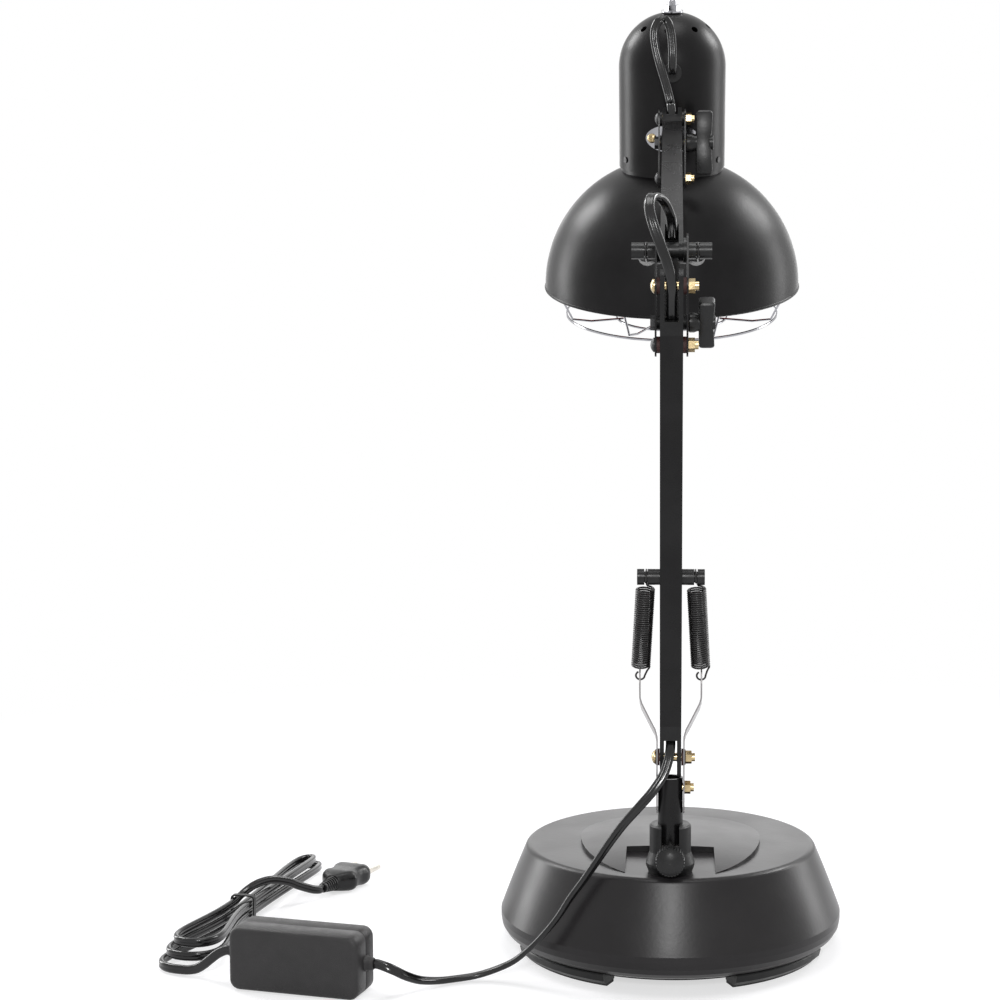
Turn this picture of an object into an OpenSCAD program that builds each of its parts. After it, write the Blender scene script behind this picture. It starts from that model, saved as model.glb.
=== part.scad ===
// Infrared heat therapy lamp: weighted round base, swivelling post, two spring-balanced
// arms with a parallel link, and a tilting head with a bell shade, bulb and wire guard.
// X runs across the lamp, +Y is the way the beam leans and +Z is up. The origin lies on
// the table under the centre of the base.

/* [Base] */
// Radius of the base at its widest
base_r = 107.5; // [100:0.5:120]
// Height at which the base is widest
base_wide_z = 20.7; // [18:0.1:26]
// Height of the flat top of the base
base_h = 65.4; // [58:0.1:80]
// Radius of the flat top at its rounded edge
base_top_r = 92.2; // [88:0.1:97]
// Radius of the lower edge of the base shell
base_low_r = 93; // [90:0.5:96]
// Height of the lower edge of the base shell
base_low_z = 7.3; // [6:0.1:10]
// Wall of the base shell
base_wall = 2; // [1.5:0.1:3]
// Height of the oval dome above the flat top
dome_h = 5; // [3:0.5:7]
// Half the width of the oval dome
dome_rx = 57; // [50:1:62]
// Half the length of the oval dome
dome_ry = 75; // [66:1:78]
// Half the width of the flat platform behind the dome
platform_w = 27; // [22:1:32]
// Thickness of the cast ballast disc
weight_h = 13; // [8:1:18]
// Radius of the cast ballast disc
weight_r = 66; // [58:1:70]
// Thickness of the rubber foot pads
pad_t = 1.6; // [1:0.1:3]

/* [Post] */
// Distance of the post behind the centre of the base
post_back = 72; // [66:1:74]
// Diameter of the post
post_d = 14.8; // [12:0.1:16]
// Wall of the post
post_wall = 1.4; // [1:0.1:2]
// Height of the top of the socket above the base's flat top
socket_h = 29.1; // [24:0.1:32]
// Wall of the socket round the post
socket_wall = 5; // [4:0.1:6]
// Width of the slot in the back of the socket
socket_slot_w = 10.6; // [8:0.1:11]
// Height of the thumb screw above the base's flat top
thumb_rise = 11.3; // [10:0.1:13]
// Diameter of the thumb screw's knob
thumb_d = 17.2; // [15:0.2:19]
// Height of the lower arm's pivot above the base's flat top
pivot_rise = 69.2; // [68:0.1:74]
// Distance of the post bolt below the pivot
post_bolt_drop = 18.2; // [17:0.1:20]
// Distance from the mid-plane to the hooked end of a spring strip
strip_out = 18; // [16:0.5:20]

/* [Arms] */
// Width of the square arm tubes
tube_w = 12.7; // [11.5:0.1:13]
// Wall of the square arm tubes
tube_wall = 1; // [0.8:0.1:1.4]
// Backward lean of the lower arm in degrees
lower_lean = 16; // [12:1:20]
// Length of the lower arm from its pivot to the upper elbow bolt
lower_len = 287.2; // [270:0.1:310]
// Rise of the upper arm above level in degrees
upper_rise = 23.7; // [15:0.1:32]
// Length of the upper arm between its pivots
upper_len = 248.5; // [230:0.5:270]
// Height of the upper arm's pivot over the link's pivot
link_h = 39.4; // [36:0.1:42]
// Width of the square link tube
link_w = 9.5; // [8:0.1:9.5]
// Distance of the link's pivot in front of the lower arm's axis
link_ahead = 12.6; // [12.4:0.1:14]
// Distance of the lower spring pin above the pivot
spring_pin_s = 116.2; // [110:0.1:125]
// Distance of the spring pin along the link
link_pin_s = 100; // [90:1:120]
// Diameter of the black cross pins
pin_d = 9.2; // [8:0.1:9.4]
// Diameter of the arm bolts
bolt_d = 5; // [4:0.1:5.5]
// Gap between an arm and the plates beside it
side_gap = 1.85; // [1.6:0.05:2.2]
// Thickness of the joint plates
plate_t = 1; // [0.8:0.1:1.4]

/* [Springs] */
// Wire diameter of the balance springs
spring_wire = 1.2; // [1:0.1:1.3]
// Outer diameter of the balance springs
spring_d = 11.5; // [10:0.1:12]
// Curls in each lower spring
lower_curls = 22; // [12:1:24]
// Curls in each upper spring
upper_curls = 15; // [10:1:18]

/* [Head] */
// Tilt of the head's axis towards the post in degrees
head_tilt = 16.5; // [10:0.5:20]
// Distance of the tilt pivot in front of the head plates' arm pivot
tilt_ahead = 10; // [9:0.5:12]
// Distance of the tilt pivot below the head plates' arm pivot
tilt_drop = 14.7; // [14:0.1:16]
// Distance from the tilt pivot to the cap's wall
bracket_reach = 16; // [15:0.5:20]
// Outer diameter of the cap
cap_d = 74; // [70:0.5:78]
// Height of the cap's top above the bracket
cap_top = 80; // [76:0.5:86]
// Length of the cap below the bracket
cap_skirt = 25.2; // [22:0.1:28]
// Wall of the cap and the shade
head_wall = 1; // [0.8:0.1:1.4]
// Outer diameter of the shade at its rim
shade_d = 182; // [178:1:190]
// Gap between the cap's lower edge and the shoulder of the bell
lip_gap = 3.2; // [1:0.1:6]
// Vent holes round the cap's top
vents = 8; // [6:1:10]
// Diameter of the bulb
bulb_d = 122; // [110:1:125]
// Radial wires in the guard
guard_wires = 8; // [6:1:10]
// Diameter of the guard's wire
guard_wire = 1.6; // [1.2:0.1:2.2]

/* [Cord] */
// Width of the flat cord
cord_w = 5.8; // [5:0.1:6.2]
// Thickness of the flat cord
cord_t = 3.4; // [3:0.1:3.6]
// Length of the switch box
box_l = 82; // [80:1:84]
// Height of the switch box as it stands
box_h = 38; // [36:1:42]
// Thickness of the switch box
box_t = 27; // [24:1:30]
// Diameter of the dimmer wheel
wheel_d = 24; // [20:1:28]

/* [Hidden] */
$fn = 64;

// Running clearance of a pin in its hole, all round
fit = 0.05;
// Gap between parts of different bodies that pass face to face
pass = 0.15;
// Colours
BLACK = [0.05, 0.05, 0.055];
PLASTIC = [0.1, 0.1, 0.105];
ZINC = [0.72, 0.7, 0.66];
BRASS = [0.78, 0.66, 0.38];
STEEL = [0.8, 0.81, 0.82];

// Places worked out from the sizes above
post_y = -post_back;
socket_top_z = base_h + socket_h;
thumb_z = base_h + thumb_rise;
pivot_z = base_h + pivot_rise;
post_r = post_d / 2;
bolt_r = bolt_d / 2;
pin_r = pin_d / 2;
half_tube = tube_w / 2;
plate_x = half_tube + side_gap;
plate_out = plate_x + plate_t;
socket_r = post_r + socket_wall;
post_bolt_z = pivot_z - post_bolt_drop;
strip_x = post_r + 0.2;
strip_t = 0.8;
brace_s = lower_len - 33.1;
// The fork fittings: tube end, slot start and prong tip, measured from their pivots
fork_tube = 26.3;
fork_slot = 18.5;
fork_tip = 9.5;
fork_gap = 7.7;
foot_tube = 23.3;
foot_slot = 14;
foot_tip = 11.6;
plug_len = 16;
// The post ends below the sweep of the lower arm's foot
tip_gap = 0.4;
post_top_z = pivot_z - foot_tip - tip_gap;

function lower_point(y, s) = [0,
    post_y + y * cos(lower_lean) - s * sin(lower_lean),
    pivot_z + y * sin(lower_lean) + s * cos(lower_lean)];
// The link's pivot K and the upper arm's pivot P stand one above the other
link_s = lower_len - 23.9;
K = lower_point(link_ahead, link_s);
P = K + [0, 0, link_h];
U = P + upper_len * [0, cos(upper_rise), sin(upper_rise)];
V = U - [0, 0, link_h];
T = U + [0, tilt_ahead, -tilt_drop];
cap_r = cap_d / 2;
shade_r = shade_d / 2;
// Distance of the shade's rim below the bracket
rim_drop = cap_skirt + lip_gap + sqrt(shade_r * shade_r - cap_r * cap_r);
link_pin = K + link_pin_s * [0, cos(upper_rise), sin(upper_rise)];

// ---------- vectors, sweeps and frames ----------
function unit(v) = v / norm(v);
function lerp(a, b, k) = a + (b - a) * k;
function tangent(p, i) = unit(p[min(i + 1, len(p) - 1)] - p[max(i - 1, 0)]);
function arc(cx, cy, r, a0, a1, n) =
    [for (i = [0:n]) let (a = a0 + (a1 - a0) * i / n) [cx + r * cos(a), cy + r * sin(a)]];

// One closed tube over rings of m points
module skin(rings) {
    n = len(rings);
    m = len(rings[0]);
    sides = [for (i = [0:n - 2], j = [0:m - 1])
        each [[i * m + j, (i + 1) * m + j, i * m + (j + 1) % m],
              [i * m + (j + 1) % m, (i + 1) * m + j, (i + 1) * m + (j + 1) % m]]];
    first = [for (j = [1:m - 2]) [0, j, j + 1]];
    last = [for (j = [1:m - 2]) [(n - 1) * m, (n - 1) * m + j + 1, (n - 1) * m + j]];
    polyhedron(points = [for (r = rings) each r], faces = concat(sides, first, last));
}

// Flat twin cord along a path. Its width lies as near as it can to w0 at the start, w1 at
// the share mid of the way, and w2 at the end.
function width_hint(k, mid, w0, w1, w2) =
    k < mid ? lerp(w0, w1, k / mid) : lerp(w1, w2, (k - mid) / (1 - mid));
module flat_cord(path, w0, w1, w2, mid = 0.5, m = 10) {
    n = len(path);
    rings = [for (i = [0:n - 1])
        let (t = tangent(path, i),
             h = width_hint(i / (n - 1), mid, w0, w1, w2),
             w = unit(h - (h * t) * t),
             f = cross(t, w))
        [for (j = [0:m - 1]) let (a = 360 * (j + 0.5) / m)
            path[i] + w * cord_w / 2 * cos(a) + f * cord_t / 2 * sin(a)]];
    skin(rings);
}

// Round wire along a path, carried without twist
function carried(path, i, w) =
    let (t = tangent(path, i), q = w - (w * t) * t) unit(q);
function side_vectors(path, w0) =
    [for (i = 0, w = carried(path, 0, w0); i < len(path);
          i = i + 1, w = i < len(path) ? carried(path, i, w) : w) w];
module wire(path, r, w0, m = 6) {
    sides = side_vectors(path, w0);
    rings = [for (i = [0:len(path) - 1])
        let (w = sides[i], f = cross(tangent(path, i), w))
        [for (j = [0:m - 1]) path[i] + r * (w * cos(360 * j / m) + f * sin(360 * j / m))]];
    skin(rings);
}

// Frames: z runs along the arm, y lies across it in the lamp's mid-plane
module lower_frame() {
    translate([0, post_y, pivot_z]) rotate([lower_lean, 0, 0]) children();
}
module upper_frame(at = P) {
    translate(at) rotate([upper_rise - 90, 0, 0]) children();
}
// The head's frame: z is the head's axis, y = 0 on that axis, z = 0 level with the bracket
module head_frame() {
    translate(T) rotate([head_tilt, 0, 0]) translate([0, bracket_reach + cap_r, 0]) children();
}
// A cylinder across the lamp
module across(r, x0, x1) {
    translate([x0, 0, 0]) rotate([0, 90, 0]) cylinder(r = r, h = x1 - x0);
}
// A bolt across the lamp with a round head on the left and a nut on the right
module bolt(x_left, x_right, r = bolt_r, nut = 4, reach = 2) {
    head_h = 2.4;
    nut_h = 3.6;
    across(r, x_left - 0.4, x_right + nut_h + reach);
    translate([x_left, 0, 0]) rotate([0, -90, 0]) intersection() {
        cylinder(r = nut, h = head_h);
        translate([0, 0, -nut * 0.75]) sphere(r = nut * 1.35);
    }
    translate([x_right, 0, 0]) rotate([0, 90, 0]) difference() {
        cylinder(r = nut, h = nut_h, $fn = 6);
        translate([0, 0, -1]) cylinder(r = r + fit, h = nut_h + 2);
    }
}
// A washer across the lamp
module washer(x0, x1, r, hole) {
    difference() {
        across(r, x0, x1);
        across(hole, x0 - 1, x1 + 1);
    }
}

// ---------- base ----------
base_edge = 4;
dome_y = -9;
platform_front = -31;
// The dome's outline is an egg: widest at dome_wide_y, round behind and drawn out in front
dome_wide_y = 7;
dome_back = dome_y + dome_ry - dome_wide_y;
dome_front = 95;
function dome_outline() = [for (a = [0:7.5:352.5])
    [dome_rx * cos(a), dome_wide_y + (sin(a) > 0 ? dome_back : dome_front) * sin(a)]];
function base_outer() = concat(
    [[0, base_h]],
    arc(base_top_r - base_edge, base_h - base_edge, base_edge, 90, 18, 6),
    [for (i = [1:5]) let (k = i / 6)
        [lerp(base_top_r, base_r, pow(k, 0.92)), lerp(base_h - base_edge, base_wide_z + 3, k)]],
    [[base_r, base_wide_z + 3], [base_r, base_wide_z - 1]],
    [for (i = [1:5]) let (a = 90 * i / 5)
        [base_low_r + (base_r - base_low_r) * cos(a),
         base_wide_z - 1 - (base_wide_z - 1 - base_low_z) * sin(a)]]);
function base_inner() = [for (q = base_outer())
    [max(0, q[0] - base_wall), max(base_low_z, q[1] - (q[1] > base_h - base_edge ? base_wall : 0))]];

boss_r = 4;
screw_ring = 74;
boss_sink = 0.5;
cover_t = 2;
cover_z = base_low_z - cover_t;
module base_shell() {
    color(BLACK) difference() {
        union() {
            rotate_extrude($fn = 128) {
                difference() {
                    polygon(concat(base_outer(), [[0, base_low_z]]));
                    polygon(concat(
                        [for (q = base_inner()) [q[0], q[0] == 0 ? base_h - base_wall : q[1]]],
                        [[base_low_r - base_wall, 0], [0, 0]]));
                }
            }
            // The oval dome, cut flat behind for the platform
            difference() {
                intersection() {
                    translate([0, 0, base_h - 1]) linear_extrude(dome_h + 2) polygon(dome_outline());
                    dome_r = (dome_ry * dome_ry + dome_h * dome_h) / (2 * dome_h);
                    translate([0, dome_y, base_h + dome_h - dome_r]) sphere(r = dome_r, $fn = 360);
                }
                translate([-platform_w, -base_r, base_h]) cube([2 * platform_w, base_r + platform_front, 20]);
            }
            for (a = [45:90:315]) rotate(a)
                translate([screw_ring, 0, base_low_z])
                    cylinder(r = boss_r, h = base_h - base_wall - base_low_z + boss_sink);
        }
        // Hole for the socket's spigot and the screw holes
        translate([0, post_y, base_h - 10]) cylinder(r = socket_spigot_r + fit, h = 20);
        for (a = [45:90:315]) rotate(a)
            translate([screw_ring, 0, base_low_z - 1]) cylinder(r = 1.6, h = 14);
    }
}
cover_r = base_low_r - 1;
skirt_r = base_low_r + 8;
skirt_gap = 23;
skirt_clear = 0.3;
// Height of the shell's rounded foot at radius r
function foot_z(r) = let (k = (r - base_low_r) / (base_r - base_low_r))
    base_wide_z - 1 - (base_wide_z - 1 - base_low_z) * sqrt(1 - k * k);
module skirt_arc(outline) {
    rotate([0, 0, skirt_gap]) rotate_extrude(angle = 90 - 2 * skirt_gap, $fn = 128) polygon(outline);
}
module base_cover() {
    color(PLASTIC) difference() {
        union() {
            translate([0, 0, cover_z]) cylinder(r = cover_r, h = cover_t);
            for (a = [0:90:270]) rotate(a - 90)
                skirt_arc(concat([[cover_r - 7, cover_z + 0.2], [cover_r - 7, pad_t], [skirt_r - 4, pad_t],
                    [skirt_r - 1.2, pad_t + 2.4], [skirt_r, foot_z(skirt_r) - skirt_clear - 1]],
                    [for (r = [skirt_r - 0.5:-1.5:base_low_r]) [r, foot_z(r) - skirt_clear]],
                    [[base_low_r, base_low_z - skirt_clear], [cover_r - 0.5, base_low_z - skirt_clear]]));
        }
        for (a = [45:90:315]) rotate(a) translate([screw_ring, 0, 0]) {
            cylinder(r = 1.9, h = 20);
            cylinder(r = 4, h = base_low_z - 1.5);
        }
    }
}
middle_pad_r = 11;
module base_feet() {
    color([0.03, 0.03, 0.03]) {
        for (a = [0:90:270]) rotate(a - 90) skirt_arc(
            [[cover_r - 6, 0], [skirt_r - 5.5, 0], [skirt_r - 4.6, pad_t], [cover_r - 6, pad_t]]);
        cylinder(r = middle_pad_r, h = cover_z);
    }
}
module base_weight() {
    color([0.2, 0.2, 0.2]) translate([0, 0, base_low_z]) difference() {
        cylinder(r = weight_r, h = weight_h);
        translate([0, 0, -1]) cylinder(r = 9, h = weight_h + 2);
        translate([0, post_y, -1]) cylinder(r = socket_spigot_r + 4, h = weight_h + 2);
    }
}
module base_screws() {
    color(ZINC) for (a = [45:90:315]) rotate(a)
        translate([screw_ring, 0, base_low_z - 1.5]) {
            translate([0, 0, -1.6]) cylinder(r = 3.4, h = 1.6);
            translate([0, 0, -0.2]) cylinder(r = 1.5, h = 12);
        }
}
// The socket: a flared foot, a split body and a spigot with a nut under the shell
socket_foot_r = socket_r + 2.2;
socket_spigot_r = post_r + 2;
shoulder_z = base_h + 6;
body_z = base_h + 11.5;
slot_z = base_h + 16;
spigot_z = base_h - 14;
seat_z = base_h;
module post_socket() {
    color(PLASTIC) difference() {
        translate([0, post_y, 0]) difference() {
            rotate_extrude() polygon([
                [0, spigot_z], [socket_spigot_r, spigot_z], [socket_spigot_r, seat_z],
                [socket_foot_r - 1.6, seat_z], [socket_foot_r, shoulder_z - 1.4],
                [socket_foot_r, shoulder_z], [socket_r + 0.3, body_z], [socket_r, body_z + 1],
                [socket_r, socket_top_z - 1], [socket_r - 1, socket_top_z], [0, socket_top_z]]);
            translate([0, 0, spigot_z + 2]) cylinder(r = post_r + fit, h = socket_top_z);
            translate([-socket_slot_w / 2, -socket_r - 1, slot_z]) cube([socket_slot_w, socket_r, socket_h]);
            // Pocket for the clamp block and the bore of the thumb screw
            translate([-block_w / 2 - fit, -post_r - block_t - 1, thumb_z - block_h / 2])
                cube([block_w + 2 * fit, block_t + 2, block_h + 20]);
            translate([0, 0, thumb_z]) rotate([90, 0, 0]) cylinder(r = thumb_r + fit, h = 40);
        }
    }
}
thumb_r = 2.5;
block_w = socket_slot_w - 0.4;
block_t = 3.6;
block_h = 14;
module clamp_block() {
    color(ZINC) translate([0, post_y, 0]) difference() {
        translate([-block_w / 2, -post_r - block_t, thumb_z - block_h / 2 + fit])
            cube([block_w, block_t - 0.2, block_h]);
        translate([0, 0, thumb_z]) rotate([90, 0, 0]) cylinder(r = thumb_r + fit, h = 40);
    }
}
thumb_gap = 1.2;
thumb_y = -socket_foot_r - thumb_gap;
thumb_knob = 7;
knurls = 28;
module thumb_screw() {
    color(PLASTIC) translate([0, post_y, thumb_z]) rotate([90, 0, 0]) {
        translate([0, 0, post_r + 0.15]) cylinder(r = thumb_r, h = -thumb_y - post_r + 1);
        translate([0, 0, -thumb_y - 0.8]) cylinder(r = 4.4, h = 1.6);
        translate([0, 0, -thumb_y]) difference() {
            cylinder(r = thumb_d / 2, h = thumb_knob);
            for (i = [0:knurls - 1]) rotate(360 * i / knurls)
                translate([thumb_d / 2 + 0.25, 0, -1]) rotate(45)
                    translate([-0.6, -0.6, 0]) cube([1.2, 1.2, thumb_knob + 2]);
        }
        translate([0, 0, thumb_knob - thumb_y]) intersection() {
            translate([0, 0, -0.1]) cylinder(r = thumb_d / 2 - 0.8, h = 4);
            translate([0, 0, -10]) sphere(r = 12.9);
        }
    }
}

// ---------- post ----------
module post_tube() {
    color(BLACK) translate([0, post_y, 0]) difference() {
        translate([0, 0, spigot_z + 2.3]) cylinder(r = post_r, h = post_top_z - spigot_z - 2.3);
        translate([0, 0, spigot_z]) cylinder(r = post_r - post_wall, h = post_top_z);
        translate([0, 0, post_bolt_z]) across(bolt_r + fit, -20, 20);
    }
}
// A sprung strip: straight on the post, flared outwards, straight again at the hook
strip_foot_z = post_bolt_z - 15;
flare_z0 = pivot_z + 13;
flare_z1 = pivot_z + 33;
hook_s = 50.2;
bend_slope = 22;
hole_r = 1.6;
module strip_profile(side) {
    x0 = strip_x;
    x1 = strip_out - strip_t / 2;
    outline = [[x0, -60], [x0, 0], [x0 + 1.2, 4], [x1 - 1, flare_z1 - flare_z0 - 3],
        [x1, flare_z1 - flare_z0], [x1, 60]];
    back = [for (i = [len(outline) - 1:-1:0]) outline[i] + [strip_t, i > 0 && i < 5 ? -0.25 : 0]];
    polygon([for (q = concat(outline, back)) [side * q[0], q[1]]]);
}
module strip_outline() {
    hook = [post_y - hook_s * sin(lower_lean), pivot_z + hook_s * cos(lower_lean)];
    polygon([[post_y - 3, strip_foot_z], [post_y + 3, strip_foot_z], [post_y + 6.5, strip_foot_z + 10],
        [post_y + 6.5, pivot_z + 6], [post_y + 8, pivot_z + 14], hook + [9.5, -8], hook + [7.5, 5],
        hook + [2, 8], hook + [-5, 6], hook + [-8, 0], [post_y - 10, pivot_z + 22],
        [post_y - 6.5, pivot_z + 6], [post_y - 6.5, strip_foot_z + 10]]);
}
module spring_strip(side) {
    hook = lower_point(0, hook_s);
    difference() {
        intersection() {
            translate([0, post_y - 6, flare_z0]) rotate([-bend_slope, 0, 0]) rotate([90, 0, 0])
                translate([0, 0, -50]) linear_extrude(100) strip_profile(side);
            rotate([90, 0, 90]) translate([0, 0, -40]) linear_extrude(80) strip_outline();
        }
        translate([0, post_y, pivot_z]) across(bolt_r + fit, -40, 40);
        translate([0, post_y, post_bolt_z]) across(bolt_r + fit, -40, 40);
        translate(hook) across(hole_r, -40, 40);
    }
}
module spring_strip_left() {
    color(STEEL) spring_strip(-1);
}
module spring_strip_right() {
    color(STEEL) spring_strip(1);
}
strip_outer = strip_x + strip_t;
module post_bolt() {
    color(BRASS) translate([0, post_y, post_bolt_z]) bolt(-strip_outer, strip_outer);
}
module pivot_bolt() {
    color(BRASS) translate([0, post_y, pivot_z]) bolt(-strip_outer - 0.6, strip_outer + 0.6);
    color(BLACK) translate([0, post_y, pivot_z]) for (s = [0, 1]) mirror([s, 0, 0]) {
        washer(half_tube + pass, strip_x, 5, bolt_r + fit);
        washer(strip_outer, strip_outer + 0.6, 4.6, bolt_r + fit);
    }
}

// ---------- arm tubes and fork fittings ----------
// Square tube from z0 to z1 with its mid-plane on x = 0
module square_tube(z0, z1, w, wall) {
    difference() {
        translate([-w / 2, -w / 2, z0]) cube([w, w, z1 - z0]);
        translate([-w / 2 + wall, -w / 2 + wall, z0 - 1]) cube([w - 2 * wall, w - 2 * wall, z1 - z0 + 2]);
    }
}
// A fork at z = 0: prongs round a pivot, a collar and a plug that fills the tube's end.
// The tube ends at z = tube_z, the slot starts at slot_z, and the prongs end at -tip.
module fork(tube_z, slot_z, tip, hole_r) {
    inner = tube_w - 2 * tube_wall - 0.1;
    difference() {
        union() {
            translate([-half_tube, -half_tube, 0]) cube([tube_w, tube_w, tube_z]);
            intersection() {
                translate([-half_tube, -half_tube, -tip]) cube([tube_w, tube_w, tip + 1]);
                across(tip, -half_tube, half_tube);
            }
            translate([-inner / 2, -inner / 2, tube_z - 0.01]) cube([inner, inner, plug_len]);
        }
        translate([-fork_gap / 2, -tube_w, -tip - 1]) cube([fork_gap, 2 * tube_w, slot_z + tip + 1]);
        translate([-fork_gap / 2, -2.6, -tip]) cube([fork_gap, 5.2, tube_z + plug_len + tip + 10]);
        across(hole_r, -20, 20);
    }
}
cross_slack = 0.05;
module lower_tube() {
    color(BLACK) lower_frame() difference() {
        square_tube(foot_tube, lower_len - fork_tube, tube_w, tube_wall);
        translate([0, 0, spring_pin_s]) across(pin_r + cross_slack, -20, 20);
        translate([0, 0, brace_s]) across(bolt_r + fit, -20, 20);
    }
}
module lower_foot_fitting() {
    color(PLASTIC) lower_frame() fork(foot_tube, foot_slot, foot_tip, bolt_r + fit);
}
module lower_top_fitting() {
    color(PLASTIC) lower_frame() difference() {
        translate([0, 0, lower_len]) mirror([0, 0, 1]) fork(fork_tube, fork_slot, fork_tip, bolt_r + fit);
        translate([0, 0, brace_s]) across(bolt_r + fit, -20, 20);
    }
}
// A black cross pin with a groove near each end for a spring's loop
module cross_pin(half, groove_x, r, groove_r) {
    difference() {
        across(r, -half, half);
        for (s = [-1, 1]) translate([s * groove_x, 0, 0]) difference() {
            across(r + 1, -1, 1);
            across(groove_r, -2, 2);
        }
    }
}
groove_x = 14.3;
groove_r = 3.2;
link_groove_r = 2.6;
module lower_spring_pin() {
    color(PLASTIC) lower_frame() translate([0, 0, spring_pin_s]) cross_pin(19.4, groove_x, pin_r, groove_r);
}

// ---------- springs ----------
// A coiled spring on +z with an open loop at each end. The far loop turns about x round
// z = span with radius r1. The near one turns about x round z = 0 with radius r0 or, when it
// hangs in a strip's hole, passes through the hole at z = 0 along x.
loop_r = groove_r + spring_wire / 2 + 0.4;
link_loop_r = link_groove_r + spring_wire / 2 + 0.4;
hole_loop_r = 2.6;
coil_r = (spring_d - spring_wire) / 2;
loop_step = 40;
curl_rings = 8;
function near_loop(r0, in_hole) = [for (i = [0:6])
    let (a = loop_step * i - 210, b = loop_step * i - 150)
    in_hole ? [r0 * sin(b), 0, r0 - r0 * cos(b) + hole_r - spring_wire / 2 - 0.2]
            : [0, r0 * cos(a), r0 * sin(a)]];
function far_loop(span, r1) = [for (i = [0:6])
    let (a = loop_step * i - 30) [0, r1 * cos(a), span + r1 * sin(a)]];
function spring_path(span, z0, z1, curls, r0, r1, in_hole) =
    let (a0 = in_hole ? 0 : 90, n = curls * curl_rings + (in_hole ? 2 : 0))
    concat(near_loop(r0, in_hole),
        [for (i = [0:n]) let (a = a0 + 360 * i / curl_rings)
            [coil_r * cos(a), coil_r * sin(a), lerp(z0, z1, i / n)]],
        far_loop(span, r1));
// Least gap between parts of a wire that lie more than half a curl apart along it
function wire_gap(path, d) = min([for (i = [0:len(path) - 6]) for (j = [i + 5:len(path) - 1])
    norm(path[i] - path[j])]) - d;
hook_lean = atan2(strip_out - groove_x, spring_pin_s - hook_s);
lower_span = norm([strip_out - groove_x, spring_pin_s - hook_s]);
lower_path = spring_path(lower_span, 11, lower_span - 9, lower_curls, hole_loop_r, loop_r, true);
module lower_spring(side) {
    lower_frame() translate([side * strip_out, 0, hook_s]) rotate([0, -side * hook_lean, 0])
        wire(lower_path, spring_wire / 2, [0, 1, 0]);
}
module lower_spring_left() {
    color(BLACK) lower_spring(-1);
}
module lower_spring_right() {
    color(BLACK) lower_spring(1);
}
upper_way = link_pin - P;
upper_coil_z = 17;
upper_coil_l = 50;
upper_path = spring_path(norm(upper_way), upper_coil_z, upper_coil_z + upper_coil_l,
    upper_curls, loop_r, link_loop_r, false);
module upper_spring(side) {
    translate(P + [side * groove_x, 0, 0]) rotate([atan2(upper_way[2], upper_way[1]) - 90, 0, 0])
        wire(upper_path, spring_wire / 2, [1, 0, 0]);
}
module upper_spring_left() {
    color(BLACK) upper_spring(-1);
}
module upper_spring_right() {
    color(BLACK) upper_spring(1);
}

// ---------- elbow ----------
// Outline round circles [centre, radius] that are listed anticlockwise
function side_normal(a, b) =
    let (d = b[0] - a[0]) atan2(d[1], d[0]) - acos((a[1] - b[1]) / norm(d));
function outline(corners, steps = 10) = let (n = len(corners)) [for (i = [0:n - 1])
    let (c = corners[i],
         from = side_normal(corners[(i + n - 1) % n], c),
         to = side_normal(c, corners[(i + 1) % n]),
         sweep = to - from - 360 * floor((to - from) / 360))
    for (k = [0:steps]) let (a = from + sweep * k / steps) c[0] + c[1] * [cos(a), sin(a)]];
// A joint plate across the lamp's mid-plane, on the side given, with round holes
module plate(side, corners, holes) {
    x0 = side > 0 ? plate_x : -plate_out;
    difference() {
        translate([x0, 0, 0]) rotate([90, 0, 90]) linear_extrude(plate_t) polygon(outline(corners));
        for (h = holes) translate([0, h[0][0], h[0][1]]) across(h[1], -40, 40);
    }
}
function flat_point(q) = [q[1], q[2]];
A = lower_point(0, lower_len);
B = lower_point(0, brace_s);
module elbow_plate(side) {
    plate(side,
        [[flat_point(P), 9.6], [flat_point(A), 7.5], [flat_point(B), 6.5], [flat_point(K), 7.5]],
        [[flat_point(P), pin_r + fit], [flat_point(A), bolt_r + fit], [flat_point(B), bolt_r + fit],
         [flat_point(K), bolt_r + fit]]);
}
module elbow_plate_left() {
    color(BLACK) elbow_plate(-1);
}
module elbow_plate_right() {
    color(BLACK) elbow_plate(1);
}
module elbow_pin() {
    color(PLASTIC) translate(P) {
        cross_pin(22.2, groove_x, pin_r, groove_r);
        for (s = [0, 1]) mirror([s, 0, 0]) washer(half_tube + pass, plate_x - 0.02, 7.2, pin_r + fit);
    }
}
spacer_x = link_w / 2 + pass;
module elbow_bolts() {
    for (q = [A, B]) translate(q) {
        color(BRASS) bolt(-plate_out, plate_out);
        color([0.25, 0.07, 0.06]) for (s = [0, 1]) mirror([s, 0, 0])
            washer(half_tube + 0.02, plate_x - 0.02, 4.6, bolt_r + fit);
    }
    color(ZINC) translate(K) clamp_bolt();
    color(PLASTIC) translate(K) for (s = [0, 1]) mirror([s, 0, 0])
        washer(spacer_x, plate_x - 0.02, 4.2, bolt_r + fit);
}
knob_gap = 0.2;
bolt_reach = 5;
// A wing knob on +x, bored for the end of the bolt that it clamps
module wing_knob(hub_r, hub_len, wing_len, wing_w, wing_t, turn) {
    x0 = plate_out + knob_gap;
    color(PLASTIC) difference() {
        union() {
            across(hub_r, x0, x0 + hub_len);
            rotate([turn, 0, 0]) translate([x0 + hub_len, -wing_w / 2, -wing_len / 2]) difference() {
                cube([wing_t, wing_w, wing_len]);
                for (s = [0, 1]) translate([wing_t, -1, s * wing_len]) rotate([0, 45, 0])
                    translate([-1.6, 0, -1.6]) cube([3.2, wing_w + 2, 3.2]);
            }
            across(hub_r - 1.2, x0 + hub_len - 0.5, x0 + hub_len + wing_t + 0.8);
        }
        across(bolt_r + fit, x0 - 1, x0 + bolt_reach + knob_gap);
    }
}
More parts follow.
